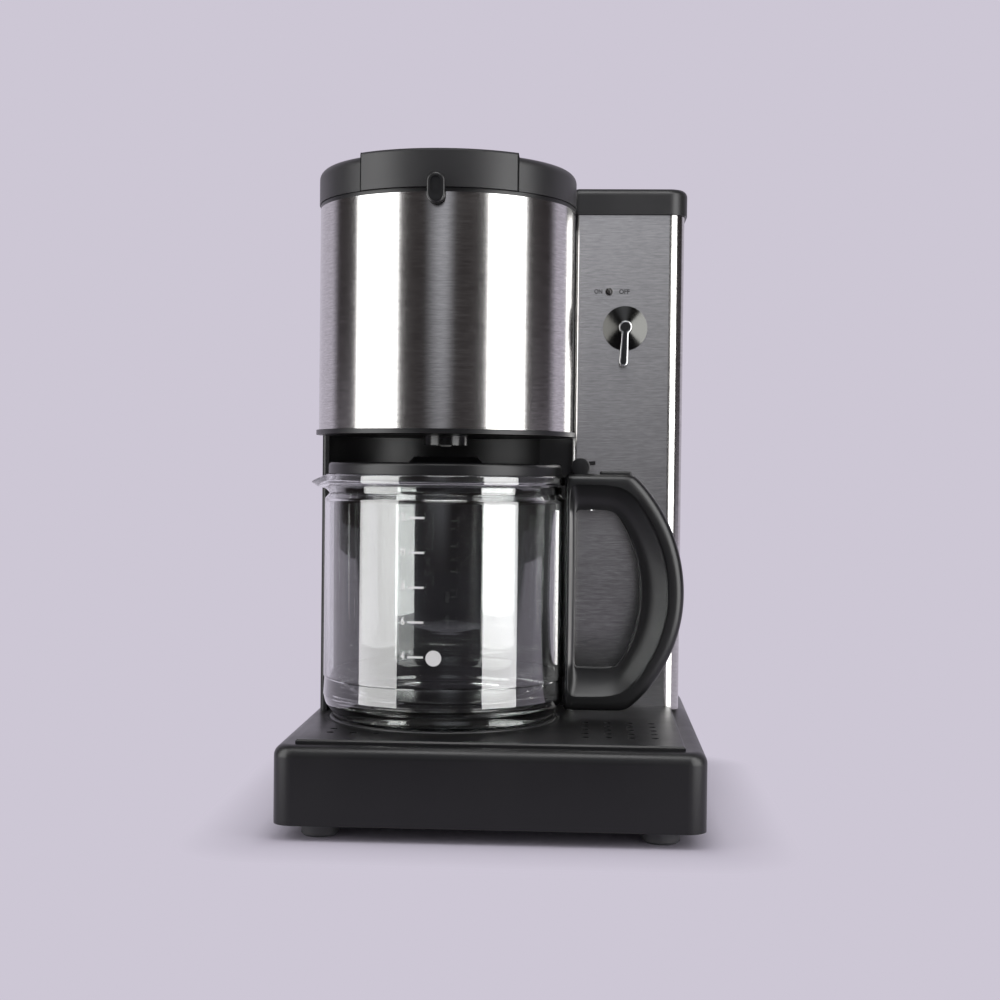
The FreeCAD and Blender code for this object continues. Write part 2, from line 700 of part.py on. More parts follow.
def plumbing():
    spigot = size.base_top - size.outlet_drop
    valve_low = spigot - size.hose_radius
    socket = spigot + size.hose_radius
    wall = size.tank_wall
    turned("check_valve", [
        (size.hose_bore - 1, valve_low), (size.hose_radius + wall, valve_low),
        (size.hose_radius + wall, socket), (size.outlet_radius, socket), (size.outlet_radius, spigot),
        (size.hose_bore - 1, spigot),
    ], outlet_x, outlet_y)
    run_z = cover_top + size.hose_radius + size.fit_gap
    drop_y = leg_end + 2 * size.hose_radius + 1
    turn_z = size.column_top - 5 * size.hose_radius
    feed_x = size.head_x + size.heater_bend
    hose("feed_hose", [
        (feed_x, leg_end, heater_z), (feed_x, drop_y, heater_z), (feed_x, drop_y, run_z),
        (outlet_x, outlet_y, run_z), (outlet_x, outlet_y, valve_low),
    ])
    hose("riser_hose", [
        (riser_x, leg_end, heater_z), (riser_x, drop_y, heater_z), (riser_x, drop_y, run_z),
        (riser_x, port_y, run_z), (riser_x, port_y, turn_z), (size.head_x, port_y, turn_z),
        (size.head_x, port_y, size.column_top),
    ])


def brew_head():
    radius, low, high = head_radius, size.head_bottom, size.head_top
    inner = radius - size.sheet_thick
    floor_low = low - size.flange_thick
    mouth = size.nozzle_radius + 4 * size.fit_gap
    axis = (size.head_x, size.head_y)
    turned("head_sleeve", [(inner, low), (radius, low), (radius, high), (inner, high)], *axis)
    turned("head_liner", [
        (mouth, floor_low), (radius + size.flange_out, floor_low), (radius + size.flange_out, low),
        (liner_out, low), (liner_out, size.liner_top), (liner_in, size.liner_top), (liner_in, low), (mouth, low),
    ], *axis)
    turned("head_rim", [
        (liner_out, high), (radius, high), (radius, high + size.rim_thick), (liner_out, high + size.rim_thick),
    ], *axis)
    wall, floor = size.basket_wall, size.basket_floor
    bore = size.nozzle_radius - size.nozzle_wall
    flange = liner_out - size.fit_gap
    flange_top = size.liner_top + size.basket_flange
    basket = turned("filter_basket", [
        (bore, size.nozzle_bottom), (size.nozzle_radius, size.nozzle_bottom), (size.nozzle_radius, floor),
        (size.basket_low_radius, floor), (size.basket_top_radius, size.liner_top), (flange, size.liner_top),
        (flange, flange_top), (size.basket_top_radius - wall, flange_top),
        (size.basket_low_radius - wall, floor + wall), (size.seat_radius, floor + wall),
        (size.seat_radius, floor), (bore, floor),
    ], *axis)
    guide_low = size.nozzle_bottom + size.guide_rise
    bar = sketch_on(basket, "XY_Plane", guide_low)
    reach = bore + size.nozzle_wall / 2
    box_outline(bar, -reach, reach, -size.nozzle_wall / 2, size.nozzle_wall / 2)
    pad(basket, bar, size.guide_height)
    hub = sketch_on(basket, "XY_Plane", guide_low)
    ring(hub, 0, 0, size.valve_stem + size.nozzle_wall)
    pad(basket, hub, size.guide_height)
    hole = sketch_on(basket, "XY_Plane", guide_low)
    ring(hole, 0, 0, size.valve_stem + size.run_gap)
    pocket(basket, hole, size.guide_height, back=True)


def drip_valve():
    """A sprung plunger that opens the basket when something lifts its tip."""
    axis = (size.head_x, size.head_y)
    stem, disc, thick = size.valve_stem, size.valve_disc, size.clip_thick
    tip = size.nozzle_bottom - size.valve_tip
    seat = size.basket_floor + size.basket_wall + size.fit_gap / 3
    disc_low = seat + size.valve_seat
    clip_low = size.nozzle_bottom + size.clip_rise
    turned("drip_valve", [
        (0, tip), (stem - size.valve_tip, tip), (stem, tip + size.valve_tip), (stem, disc_low),
        (disc, disc_low), (disc, disc_low + thick), (0, disc_low + 2 * thick),
    ], *axis)
    turned("drip_seal", [(stem, seat), (disc, seat), (disc, disc_low), (stem, disc_low)], *axis)
    turned("valve_clip", [
        (stem, clip_low), (size.clip_radius, clip_low), (size.clip_radius, clip_low + thick),
        (stem, clip_low + thick),
    ], *axis)
    wire = float(size.wire_radius)
    low = float(clip_low + thick + size.fit_gap) + wire
    high = float(size.basket_floor - size.fit_gap) - wire
    coil = float(size.coil_radius)
    helix = Part.makeHelix((high - low) / float(size.spring_turns), high - low, coil)
    start = FreeCAD.Vector(coil, 0, 0)
    rim = Part.Wire(Part.makeCircle(wire, start, FreeCAD.Vector(0, 1, 0)))
    spring = doc.addObject("Part::Feature", "drip_spring")
    spring.Label = "drip_spring"
    spring.Shape = Part.Wire(helix).makePipeShell([rim], True, True)
    spring.Placement.Base = FreeCAD.Vector(float(size.head_x), float(size.head_y), low)
    nodes.append(spring)


def capsule(made, half, low, high):
    outline(made, [
        (-half, low + half), (0, low, half), (half, low + half, half), (half, high - half),
        (0, high, half), (-half, high - half, half),
    ])


def brew_lid():
    axis = (size.head_x, size.head_y)
    half = size.band_width / 2
    band_radius = lid_radius + size.band_out
    band_top = lid_high + size.band_rise
    ends = root(band_radius * band_radius - half * half)
    lid = turned("brew_lid", [
        (0, lid_low), (lid_radius, lid_low), (lid_radius, lid_high - size.lid_edge),
        (lid_radius - size.lid_edge, lid_high, size.lid_edge), (0, lid_high),
    ], *axis)
    band = sketch_on(lid, "XY_Plane", lid_low)
    outline(band, [(-half, -ends), (half, -ends, band_radius), (half, ends), (-half, ends, band_radius)])
    pad(lid, band, size.lid_height + size.band_rise)
    soften(lid, size.band_rise,
           lambda edge: level(edge, band_top) and edge.BoundBox.XLength > float(half), "Chamfer")
    hollow = sketch_on(lid, "XY_Plane", lid_low)
    ring(hollow, 0, 0, lid_radius - size.lid_edge)
    pocket(lid, hollow, size.lid_height - size.wall, back=True)
    pin_y, pin_z, knuckle = size.lid_pin_y - size.head_y, size.lid_pin_z, size.knuckle_radius
    chord = root(lid_radius * lid_radius - size.tongue_width * size.tongue_width / 4)
    tongue = sketch_on(lid, "YZ_Plane")
    outline(tongue, [
        (chord - size.fit_gap, pin_z - knuckle), (pin_y, pin_z - knuckle), (pin_y + knuckle, pin_z, knuckle),
        (pin_y, pin_z + knuckle, knuckle), (chord - size.fit_gap, pin_z + knuckle),
    ])
    pad(lid, tongue, size.tongue_width, both=True)
    bore = sketch_on(lid, "YZ_Plane")
    ring(bore, pin_y, pin_z, size.lid_pin_radius + size.run_gap)
    pocket(lid, bore, 2 * size.tongue_width, both=True)

    pin = new_body("brew_lid_pin", size.head_x, size.lid_pin_y, size.lid_pin_z)
    section = sketch_on(pin, "YZ_Plane")
    ring(section, 0, 0, size.lid_pin_radius)
    pad(pin, section, size.tongue_width + 2 * (size.lug_thick + size.fit_gap), both=True)

    liner_radius = lid_radius - size.lid_edge - size.fit_gap
    turned("lid_liner", [
        (0, lid_low), (liner_radius, lid_low), (liner_radius, lid_low + size.wall), (0, lid_low + size.wall),
    ], *axis)

    low = lid_low - size.spreader_drop
    wall = size.basket_wall
    spreader = turned("spreader", [
        (0, low), (size.spreader_radius - wall, low), (size.spreader_radius, low + wall, wall),
        (size.spreader_radius, lid_low), (size.spreader_radius - wall, lid_low),
        (size.spreader_radius - wall, low + wall), (0, low + wall),
    ], *axis)
    holes = sketch_on(spreader, "XY_Plane", low)
    for circle in (1, 2, 3):
        for index in range(6 * circle):
            angle = math.tau * index / (6 * circle)
            reach = size.spreader_radius * circle / 4
            ring(holes, reach * math.cos(angle), reach * math.sin(angle), size.spreader_hole)
    pocket(spreader, holes, wall, back=True)

    tab = new_body("lid_pull_tab", *axis)
    half = size.tab_width / 2
    high = lid_low + size.tab_rise
    front = band_radius + size.tab_out
    face = sketch_on(tab, "XZ_Plane", band_radius)
    capsule(face, half, high - size.tab_height, high)
    pad(tab, face, size.tab_out)
    soften(tab, size.tab_sink, lambda edge: near(edge.BoundBox.YMax, -front))
    dent = sketch_on(tab, "XZ_Plane", front)
    capsule(dent, half - size.tab_rim, high - size.tab_height + 2 * size.tab_rim, high - size.tab_rim)
    pocket(tab, dent, size.tab_sink)


def tank_lid():
    left, right = size.tower_left - size.cap_out, size.tower_right + size.cap_out
    front, rear = size.tower_front - size.cap_out, cap_pin_y + size.cap_knuckle
    high = cap_low + size.cap_height
    cap = new_body("tank_lid")
    plan = sketch_on(cap, "XY_Plane", cap_low)
    box_outline(plan, left, right, front, rear)
    pad(cap, plan, size.cap_height)
    for radius, side in ((size.tower_corner, right), (size.tower_bend, left)):
        soften(cap, radius + size.cap_out, lambda edge: upright(edge) and near(edge.BoundBox.YMin, front)
               and near(edge.BoundBox.XMin, side))
    soften(cap, size.cap_corner, lambda edge: level(edge, high))
    soften(cap, size.cap_knuckle - size.fit_gap / 2,
           lambda edge: level(edge, cap_low) and near(edge.BoundBox.YMin, rear))
    hollow = sketch_on(cap, "XY_Plane", cap_low)
    inset = size.cap_out + size.cap_wall
    round_box(hollow, left + inset, right - inset, front + inset, cap_pin_y - 3 * size.cap_knuckle,
              size.tower_corner - size.cap_wall)
    pocket(cap, hollow, size.cap_height - size.cap_wall, back=True)
    bore = sketch_on(cap, "YZ_Plane", left)
    ring(bore, cap_pin_y, cap_pin_z, size.cap_pin_radius + size.run_gap)
    pocket(cap, bore, right - left, back=True)
    for place in EARS:
        notch = sketch_on(cap, "YZ_Plane", place - size.fit_gap)
        ring(notch, cap_pin_y, cap_pin_z, size.cap_knuckle * 1.5)
        pocket(cap, notch, size.ear_width + 2 * size.fit_gap, back=True)
    pin = new_body("tank_lid_pin", tank_left, cap_pin_y, cap_pin_z)
    section = sketch_on(pin, "YZ_Plane")
    ring(section, 0, 0, size.cap_pin_radius)
    pad(pin, section, tank_right - tank_left)


def lever_outline(made, inset):
    """A keyhole seen from the front: a round head over a bar that widens to a round tip."""
    head, tip = size.lever_head - inset, size.lever_tip - inset
    neck = size.lever_tip * 0.8 - inset
    drop = root(head * head - neck * neck)
    low = -size.lever_length
    outline(made, [
        (-tip, low), (0, low - tip, tip), (tip, low, tip), (neck, -drop),
        (head, 0, head), (0, head, head), (-head, 0, head), (-neck, -drop, head),
    ])


def switch():
    place = (size.switch_x, size.tower_front, size.switch_z)
    bore = size.shaft_radius + size.fit_gap
    dish = turned("escutcheon", [
        (bore, 0), (size.dish_radius, 0), (size.dish_radius, size.dish_height / 4),
        (size.lever_head + size.fit_gap, size.dish_height), (bore, size.dish_height),
    ], *place)
    lay(dish, FRONTWARD)
    lever_back = size.dish_height + size.lever_lift
    lever_front = lever_back + size.lever_thick
    sink = size.inlay_thick - size.fit_gap
    lever = new_body("switch_lever", *place)
    plan = sketch_on(lever, "XZ_Plane", lever_back)
    lever_outline(plan, 0)
    pad(lever, plan, size.lever_thick)
    soften(lever, size.inlay_thick / 2,
           lambda edge: near(edge.BoundBox.YMin, -lever_front) and near(edge.BoundBox.YMax, -lever_front),
           "Chamfer")
    rim = size.inlay_thick + size.fit_gap
    tray = sketch_on(lever, "XZ_Plane", lever_front)
    lever_outline(tray, rim)
    pocket(lever, tray, sink)
    inlay = new_body("lever_inlay", *place)
    face = sketch_on(inlay, "XZ_Plane", lever_front - sink)
    lever_outline(face, rim)
    pad(inlay, face, size.inlay_thick)
    shaft_end = size.sheet_thick + size.switch_depth / 3
    shaft = turned("switch_shaft", [
        (0, -shaft_end), (size.shaft_radius, -shaft_end), (size.shaft_radius, lever_back), (0, lever_back),
    ], *place)
    lay(shaft, FRONTWARD)
    half = size.switch_size / 2
    back = size.tower_front + size.sheet_thick
    body = block("switch_body", size.switch_x - half, size.switch_x + half, back, back + size.switch_depth,
                 size.switch_z - half, size.switch_z + half)
    socket = sketch_on(body, "XZ_Plane", -back)
    ring(socket, size.switch_x, size.switch_z, size.shaft_radius + size.run_gap)
    pocket(body, socket, size.switch_depth / 3 + size.fit_gap)
    dome = size.pilot_radius
    rise = dome * 3 / 4
    curve = (dome * dome + rise * rise) / (2 * rise)
    lens = turned("pilot_lens", [
        (0, -2 * dome), (dome, -2 * dome), (dome, dome - rise), (0, dome, curve),
    ], size.pilot_x, size.tower_front, size.pilot_z)
    lay(lens, FRONTWARD)


carafe_low = plate_top + size.carafe_gap


def spout_outline(made, inner, tip, half):
    outline(made, [(-inner, -half), (-inner, half), (-tip, 0)])


def carafe_glass():
    radius, wall, rim = size.glass_radius, size.glass_wall, size.rim_z
    step = radius - size.glass_foot
    heel = (step * step + size.glass_heel * size.glass_heel) / (2 * step)
    neck_low = size.groove_z - size.strap_height / 2 - size.fit_gap
    neck_high = size.groove_z + size.strap_height / 2 + size.fit_gap
    lip = (neck_high + rim) / 2
    glass = turned("carafe_glass", [
        (0, carafe_low + 1), (size.glass_foot - 2 * wall, carafe_low + 1), (size.glass_foot - wall, carafe_low),
        (size.glass_foot, carafe_low), (radius, carafe_low + size.glass_heel, heel),
        (radius, size.shoulder_z), (size.groove_radius, neck_low), (size.groove_radius, neck_high),
        (radius, lip), (radius, rim), (0, rim),
    ], size.head_x, size.head_y)
    root_z = (size.shoulder_z + neck_low) / 2
    low = sketch_on(glass, "XY_Plane", root_z)
    spout_outline(low, size.groove_radius - 2 * wall, size.groove_radius + wall / 2, size.spout_width / 2)
    high = sketch_on(glass, "XY_Plane", rim)
    spout_outline(high, size.groove_radius - 2 * wall, radius + size.spout_out, size.spout_width)
    beak = glass.newObject("PartDesign::AdditiveLoft", "spout_loft")
    beak.Profile = low
    beak.Sections = [high]
    beak.Ruled = True
    doc.recompute()
    inner = sketch_on(glass, "XZ_Plane")
    floor = carafe_low + 1 + size.glass_floor
    inner_radius, inner_foot = radius - wall, size.glass_foot - wall
    inner_step = inner_radius - inner_foot
    inner_rise = size.glass_heel - wall
    inner_heel = (inner_step * inner_step + inner_rise * inner_rise) / (2 * inner_step)
    outline(inner, [
        (0, floor), (inner_foot, floor), (inner_radius, floor + inner_rise, inner_heel),
        (inner_radius, size.shoulder_z - 1), (size.groove_radius - wall, neck_low - 1),
        (size.groove_radius - wall, neck_high), (inner_radius, lip), (inner_radius, rim), (0, rim),
    ])
    turn(glass, inner, cut=True)
    low_cut = sketch_on(glass, "XY_Plane", root_z)
    spout_outline(low_cut, size.groove_radius - 4 * wall, size.groove_radius - wall * 1.5, size.spout_width / 2)
    high_cut = sketch_on(glass, "XY_Plane", rim)
    spout_outline(high_cut, size.groove_radius - 4 * wall, radius + size.spout_out - wall * 1.4, size.spout_width)
    channel = glass.newObject("PartDesign::SubtractiveLoft", "spout_channel")
    channel.Profile = low_cut
    channel.Sections = [high_cut]
    channel.Ruled = True
    doc.recompute()


def handle_loop(made, left, low, high, heel, shoulder, out):
    """A D outline: two straight arms and two arcs that meet where the grip stands furthest out."""
    middle = size.handle_mid
    low_radius = ((out - heel) * (out - heel) + (middle - low) * (middle - low)) / (2 * (out - heel))
    high_radius = ((out - shoulder) * (out - shoulder) + (high - middle) * (high - middle)) / (2 * (out - shoulder))
    outline(made, [
        (left, low), (heel, low), (out, middle, low_radius), (shoulder, high, high_radius), (left, high),
    ])


def across(edge):
    box = edge.BoundBox
    return box.YLength > 1 and box.XLength < 0.01 and box.ZLength < 0.01


def handle():
    left = size.head_x + size.glass_radius + size.fit_gap
    half = size.handle_width / 2
    grip = new_body("handle", 0, size.head_y)
    side = sketch_on(grip, "XZ_Plane")
    handle_loop(side, left, size.handle_low, size.handle_top, size.handle_heel, size.handle_shoulder,
                size.handle_out)
    pad(grip, side, size.handle_width, both=True)
    gap = sketch_on(grip, "XZ_Plane")
    handle_loop(gap, size.opening_left, size.opening_low, size.opening_top, size.opening_heel,
                size.opening_shoulder, size.opening_out)
    pocket(grip, gap, 2 * size.handle_width, both=True)
    kept_edges = (left, size.handle_out, size.opening_out)
    soften(grip, size.opening_round, lambda edge: across(edge)
           and not any(near(edge.BoundBox.XMin, place) for place in kept_edges))
    soften(grip, size.handle_round, lambda edge: edge.BoundBox.YLength < 0.01
           and near(abs(edge.BoundBox.YMin), half) and edge.BoundBox.XMax > float(left) + 0.1)
    for face, back in ((half, False), (-half, True)):
        sunk = sketch_on(grip, "XZ_Plane", face)
        handle_loop(sunk, size.opening_left, size.handle_low + size.rim_width, size.handle_top - size.rim_width,
                    size.handle_heel, size.handle_shoulder, size.handle_out - size.rim_width)
        pocket(grip, sunk, size.recess_depth, back=back)
    slot = sketch_on(grip, "XY_Plane", size.groove_z - size.strap_height / 2 - size.fit_gap)
    reach = size.tongue_half + size.fit_gap
    box_outline(slot, left, size.head_x + size.tongue_out + size.fit_gap, -reach, reach)
    pocket(grip, slot, size.strap_height + 2 * size.fit_gap, back=True)
    screw_x = size.head_x + size.strap_screw_out
    hole = sketch_on(grip, "XY_Plane", size.opening_top)
    ring(hole, screw_x, 0, size.screw_shank)
    pocket(grip, hole, size.screw_length, back=True)
    for level_y, back in ((size.arm_width / 2, False), (-size.arm_width / 2, True)):
        ear = sketch_on(grip, "XZ_Plane", level_y)
        knuckle_outline(ear, size.head_x + size.cup_pin_out, size.cup_pin_z, size.cup_knuckle, size.handle_top)
        pad(grip, ear, size.ear_thick, back=back)
    bore = sketch_on(grip, "XZ_Plane")
    ring(bore, size.head_x + size.cup_pin_out, size.cup_pin_z, size.cup_pin_radius)
    pocket(grip, bore, size.handle_width, both=True)

    head_low = size.opening_top - size.screw_shank
    turned("strap_screw", [
        (0, head_low), (size.screw_head, head_low), (size.screw_head, size.opening_top),
        (size.screw_shank, size.opening_top), (size.screw_shank, size.opening_top + size.screw_length),
        (0, size.opening_top + size.screw_length),
    ], screw_x, size.head_y)

    inner = size.groove_radius + size.fit_gap / 3
    half_strap = size.strap_height / 2
    strap = turned("neck_strap", [
        (inner, size.groove_z - half_strap), (inner + size.strap_thick, size.groove_z - half_strap),
        (inner + size.strap_thick, size.groove_z + half_strap), (inner, size.groove_z + half_strap),
    ], size.head_x, size.head_y)
    gap = sketch_on(strap, "XY_Plane", size.groove_z - half_strap)
    box_outline(gap, -2 * size.groove_radius, -size.groove_radius / 2, -size.spout_width, size.spout_width)
    pocket(strap, gap, size.strap_height, back=True)
    tongue = sketch_on(strap, "XY_Plane", size.groove_z - half_strap)
    box_outline(tongue, inner + size.fit_gap, size.tongue_out, -size.tongue_half, size.tongue_half)
    pad(strap, tongue, size.strap_height)
    hole = sketch_on(strap, "XY_Plane", size.groove_z - half_strap)
    ring(hole, size.strap_screw_out, 0, size.screw_shank)
    pocket(strap, hole, size.strap_height, back=True)


def carafe_lid():
    low = size.rim_z + size.fit_gap
    high = low + size.cup_lid_height
    radius = size.cup_lid_radius
    plug = size.groove_radius - size.glass_wall - 2 * size.fit_gap
    wall = size.basket_wall
    pin_x, pin_z, knuckle = size.cup_pin_out, size.cup_pin_z, size.cup_knuckle
    lid = turned("carafe_lid", [
        (size.drip_hole, low), (plug - wall, low), (plug - wall, low - size.plug_depth),
        (plug, low - size.plug_depth), (plug, low), (radius, low), (radius, high - wall),
        (radius - wall, high, wall), (size.dome_radius, high),
        (size.dome_radius - size.dome_height, high + size.dome_height), (size.drip_hole, high + size.dome_height),
    ], size.head_x, size.head_y)
    arm = sketch_on(lid, "XZ_Plane")
    box_outline(arm, radius - 2 * wall, pin_x, pin_z - knuckle, high)
    width = size.arm_width - 2 * size.fit_gap
    pad(lid, arm, width, both=True)
    knob = sketch_on(lid, "XZ_Plane")
    ring(knob, pin_x, pin_z, knuckle)
    pad(lid, knob, width, both=True)
    thumb = sketch_on(lid, "XZ_Plane")
    end = pin_x + size.thumb_length
    outline(thumb, [
        (pin_x, pin_z), (end, pin_z + size.thumb_rise - wall), (end, pin_z + size.thumb_rise),
        (pin_x, pin_z + knuckle),
    ])
    pad(lid, thumb, width, both=True)
    bore = sketch_on(lid, "XZ_Plane")
    ring(bore, pin_x, pin_z, size.cup_pin_radius + size.run_gap)
    pocket(lid, bore, 2 * size.arm_width, both=True)
    pin = new_body("carafe_lid_pin", size.head_x + pin_x, size.head_y, pin_z)
    section = sketch_on(pin, "XZ_Plane")
    ring(section, 0, 0, size.cup_pin_radius)
    pad(pin, section, size.arm_width + 2 * size.ear_thick, both=True)


base_housing()
base_cover()
feet()
base_screws()
platform_plate()
warming_plate()
heater()
cord_gland()
rear_column()
rear_cover()
tower_sleeve()
water_tank()
plumbing()
brew_head()
drip_valve()
brew_lid()
tank_lid()
switch()
carafe_glass()
handle()
carafe_lid()

doc.recompute()
for thing in doc.Objects:
    if "Invalid" in thing.State or "Error" in thing.State:
        raise RuntimeError(f"{thing.Label} failed: {thing.State}")
for node in nodes:
    if node.Shape.isNull() or not node.Shape.isValid():
        raise RuntimeError(f"{node.Label} has no valid shape")
os.makedirs("parts", exist_ok=True)
for node in nodes:
    node.Shape.exportStep(f"parts/{node.Label}.step")
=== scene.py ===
"""The looks of a drip coffee maker: steel head and tower, black moulded body, glass carafe."""

import json
import math

import bpy
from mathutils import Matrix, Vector


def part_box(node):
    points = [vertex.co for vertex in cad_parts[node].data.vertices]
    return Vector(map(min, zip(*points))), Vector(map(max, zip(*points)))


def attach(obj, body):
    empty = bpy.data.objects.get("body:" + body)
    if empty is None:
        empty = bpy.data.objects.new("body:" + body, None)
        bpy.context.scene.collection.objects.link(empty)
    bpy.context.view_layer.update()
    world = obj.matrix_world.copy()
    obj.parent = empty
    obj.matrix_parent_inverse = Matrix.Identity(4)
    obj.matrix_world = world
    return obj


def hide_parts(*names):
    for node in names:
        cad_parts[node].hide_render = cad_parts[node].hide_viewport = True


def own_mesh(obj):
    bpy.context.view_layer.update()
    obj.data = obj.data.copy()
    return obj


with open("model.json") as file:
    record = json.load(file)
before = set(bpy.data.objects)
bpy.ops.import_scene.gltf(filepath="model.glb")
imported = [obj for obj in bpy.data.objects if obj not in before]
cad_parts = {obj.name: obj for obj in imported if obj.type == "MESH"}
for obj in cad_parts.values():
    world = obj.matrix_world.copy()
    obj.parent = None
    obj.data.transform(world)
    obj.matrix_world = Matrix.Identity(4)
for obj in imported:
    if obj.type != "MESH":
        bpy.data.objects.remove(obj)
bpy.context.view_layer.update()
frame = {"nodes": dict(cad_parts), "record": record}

# Sizes are in metres, but for those that a comment gives in millimetres.
MM = 0.001
MERGE = 0.001 * MM
NEARLY_ZERO = 1e-6
SOFT_ANGLE = math.radians(32)
FACING_FRONT = (math.pi / 2, 0, 0)


# Finishes

class Signal:
    """An output socket of a finish: arithmetic on it adds Math nodes."""

    def __init__(self, finish, socket):
        self.finish = finish
        self.socket = socket

    def _math(self, operation, first, second, clamped=False):
        settings = {"operation": operation, "use_clamp": clamped}
        return self.finish.node("ShaderNodeMath", settings, {0: first, 1: second})

    def __add__(self, other):
        return self._math("ADD", self, other)

    def __radd__(self, other):
        return self._math("ADD", other, self)

    def __sub__(self, other):
        return self._math("SUBTRACT", self, other)

    def __rsub__(self, other):
        return self._math("SUBTRACT", other, self)

    def __mul__(self, other):
        return self._math("MULTIPLY", self, other)

    def __rmul__(self, other):
        return self._math("MULTIPLY", other, self)

    def root(self):
        return self._math("POWER", self, 0.5)

    def between(self, low, high):
        return self._math("MINIMUM", self._math("MAXIMUM", self, low), high)

    def either(self, other):
        """Two masks together, at most 1."""
        return self._math("ADD", self, other, clamped=True)


class Finish:
    """A material or world: its node tree, and one way to add any node to it."""

    def __init__(self, owner):
        self.owner = owner
        owner.use_nodes = True
        self.tree = owner.node_tree
        self.tree.nodes.clear()

    def node(self, kind, settings=None, sockets=None, output=0):
        """Adds a node, sets it up, fills or links its sockets and gives back one of its outputs."""
        made = self.tree.nodes.new(kind)
        for name, value in (settings or {}).items():
            if name == "stops":
                self._set_stops(made.color_ramp, value)
            else:
                setattr(made, name, value)
        for name, value in (sockets or {}).items():
            if isinstance(value, Signal):
                self.tree.links.new(value.socket, made.inputs[name])
            else:
                made.inputs[name].default_value = value
        return Signal(self, made.outputs[output]) if made.outputs else made

    def _set_stops(self, ramp, stops):
        while len(ramp.elements) < len(stops):
            ramp.elements.new(1.0)
        for element, (place, level) in zip(ramp.elements, stops):
            element.position = place
            element.color = (level, level, level, 1.0)

    def parts(self, vector):
        """The three values of a vector."""
        return [self.node("ShaderNodeSeparateXYZ", {}, {"Vector": vector}, output=axis) for axis in "XYZ"]

    def noise(self, scale, stretch=(1, 1, 1), detail=2.0, rough=0.5):
        """Noise over the piece's own coordinates, which are in metres."""
        spot = self.node("ShaderNodeTexCoord", output="Object")
        place = self.node("ShaderNodeMapping", {}, {"Vector": spot, "Scale": stretch})
        return self.node("ShaderNodeTexNoise", {}, {
            "Vector": place, "Scale": scale, "Detail": detail, "Roughness": rough})

    def ramp(self, signal, *stops):
        """A level that follows a signal; each stop is a place on the signal and its level."""
        return self.node("ShaderNodeValToRGB", {"stops": stops}, {"Fac": signal})

    def blend(self, mask, first, second):
        """A colour between two others."""
        ends = [colour if isinstance(colour, Signal) else (*colour, 1.0) for colour in (first, second)]
        sockets = {"Factor": mask, 6: ends[0], 7: ends[1]}
        return self.node("ShaderNodeMix", {"data_type": "RGBA"}, sockets, output=2)

    def bump(self, height, depth):
        return self.node("ShaderNodeBump", {}, {"Height": height, "Distance": depth})

    def surface(self, **sockets):
        named = {name.replace("_", " "): value for name, value in sockets.items()}
        shader = self.node("ShaderNodeBsdfPrincipled", {}, named)
        self.node("ShaderNodeOutputMaterial", {}, {"Surface": shader})
        return self.owner


def new_finish(name):
    return Finish(bpy.data.materials.new(name))


def shade(colour, amount):
    """A colour made darker or lighter."""
    return tuple(channel * amount for channel in colour)


def moulded(name, colour, roughness, grain=2600, depth=0.02, spread=0.08, gloss=0.5):
    """Moulded plastic: a fine spark-eroded grain, slow tone changes and faint handling smears."""
    made = new_finish(name)
    tone = made.noise(scale=38, detail=4)
    smear = made.noise(scale=14, stretch=(1, 1, 0.35), detail=3, rough=0.65)
    grains = made.noise(scale=grain)
    return made.surface(
        Base_Color=made.blend(tone, shade(colour, 0.82), shade(colour, 1.18)),
        Roughness=made.ramp(smear, (0.3, roughness - spread), (0.75, roughness + spread)),
        Specular_IOR_Level=gloss,
        Normal=made.bump(grains, depth * MM),
    )


def brushed(name, colour, roughness):
    """Sheet brushed level: crisp from side to side, drawn out up and down, with short flecks."""
    made = new_finish(name)
    fine = made.noise(scale=1, stretch=(40, 40, 3600), detail=5, rough=0.7)
    fleck = made.noise(scale=1, stretch=(190, 190, 1300), detail=3, rough=0.6)
    cloud = made.noise(scale=9)
    streak = 0.55 * fine + 0.45 * fleck
    tone = made.ramp(streak, (0.3, 0.0), (0.7, 1.0))
    haze = 0.6 * streak + 0.4 * cloud
    return made.surface(
        Base_Color=made.blend(tone, shade(colour, 0.72), shade(colour, 1.2)),
        Metallic=1.0,
        Roughness=made.ramp(haze, (0.25, roughness - 0.04), (0.75, roughness + 0.06)),
        Anisotropic=0.7,
        Anisotropic_Rotation=0.25,
        Normal=made.bump(streak, 0.004 * MM),
    )


def polished(name, colour, roughness):
    """Polished plate with faint wipe marks."""
    made = new_finish(name)
    wipe = made.noise(scale=60, stretch=(1, 1, 0.4), detail=4)
    haze = made.noise(scale=420, detail=3)
    return made.surface(
        Base_Color=made.blend(wipe, shade(colour, 0.92), shade(colour, 1.06)),
        Metallic=1.0,
        Roughness=made.ramp(wipe, (0.3, roughness * 0.7), (0.8, roughness * 1.5)),
        Normal=made.bump(haze, 0.0008 * MM),
    )


def clear_glass(name, shine):
    """Blown glass with the slight waviness of a mould-blown wall; shine adds to its reflections."""
    made = new_finish(name)
    wave = made.noise(scale=55, stretch=(1, 1, 0.3), detail=1)
    tint = made.noise(scale=20, detail=1)
    return made.surface(
        Base_Color=made.blend(tint, (0.965, 0.985, 0.975), (0.99, 1.0, 0.995)),
        Roughness=0.0,
        IOR=1.47,
        Transmission_Weight=1.0,
        Coat_Weight=shine,
        Coat_Roughness=0.0,
        Coat_IOR=1.7,
        Normal=made.bump(wave, 0.01 * MM),
    )


def clear_moulding(name, colour):
    """Clear plastic with a faintly hazy skin."""
    made = new_finish(name)
    haze = made.noise(scale=300, detail=3)
    return made.surface(
        Base_Color=made.blend(haze, shade(colour, 0.95), colour),
        Roughness=made.ramp(haze, (0.3, 0.02), (0.8, 0.07)),
        IOR=1.12,
        Transmission_Weight=1.0,
    )


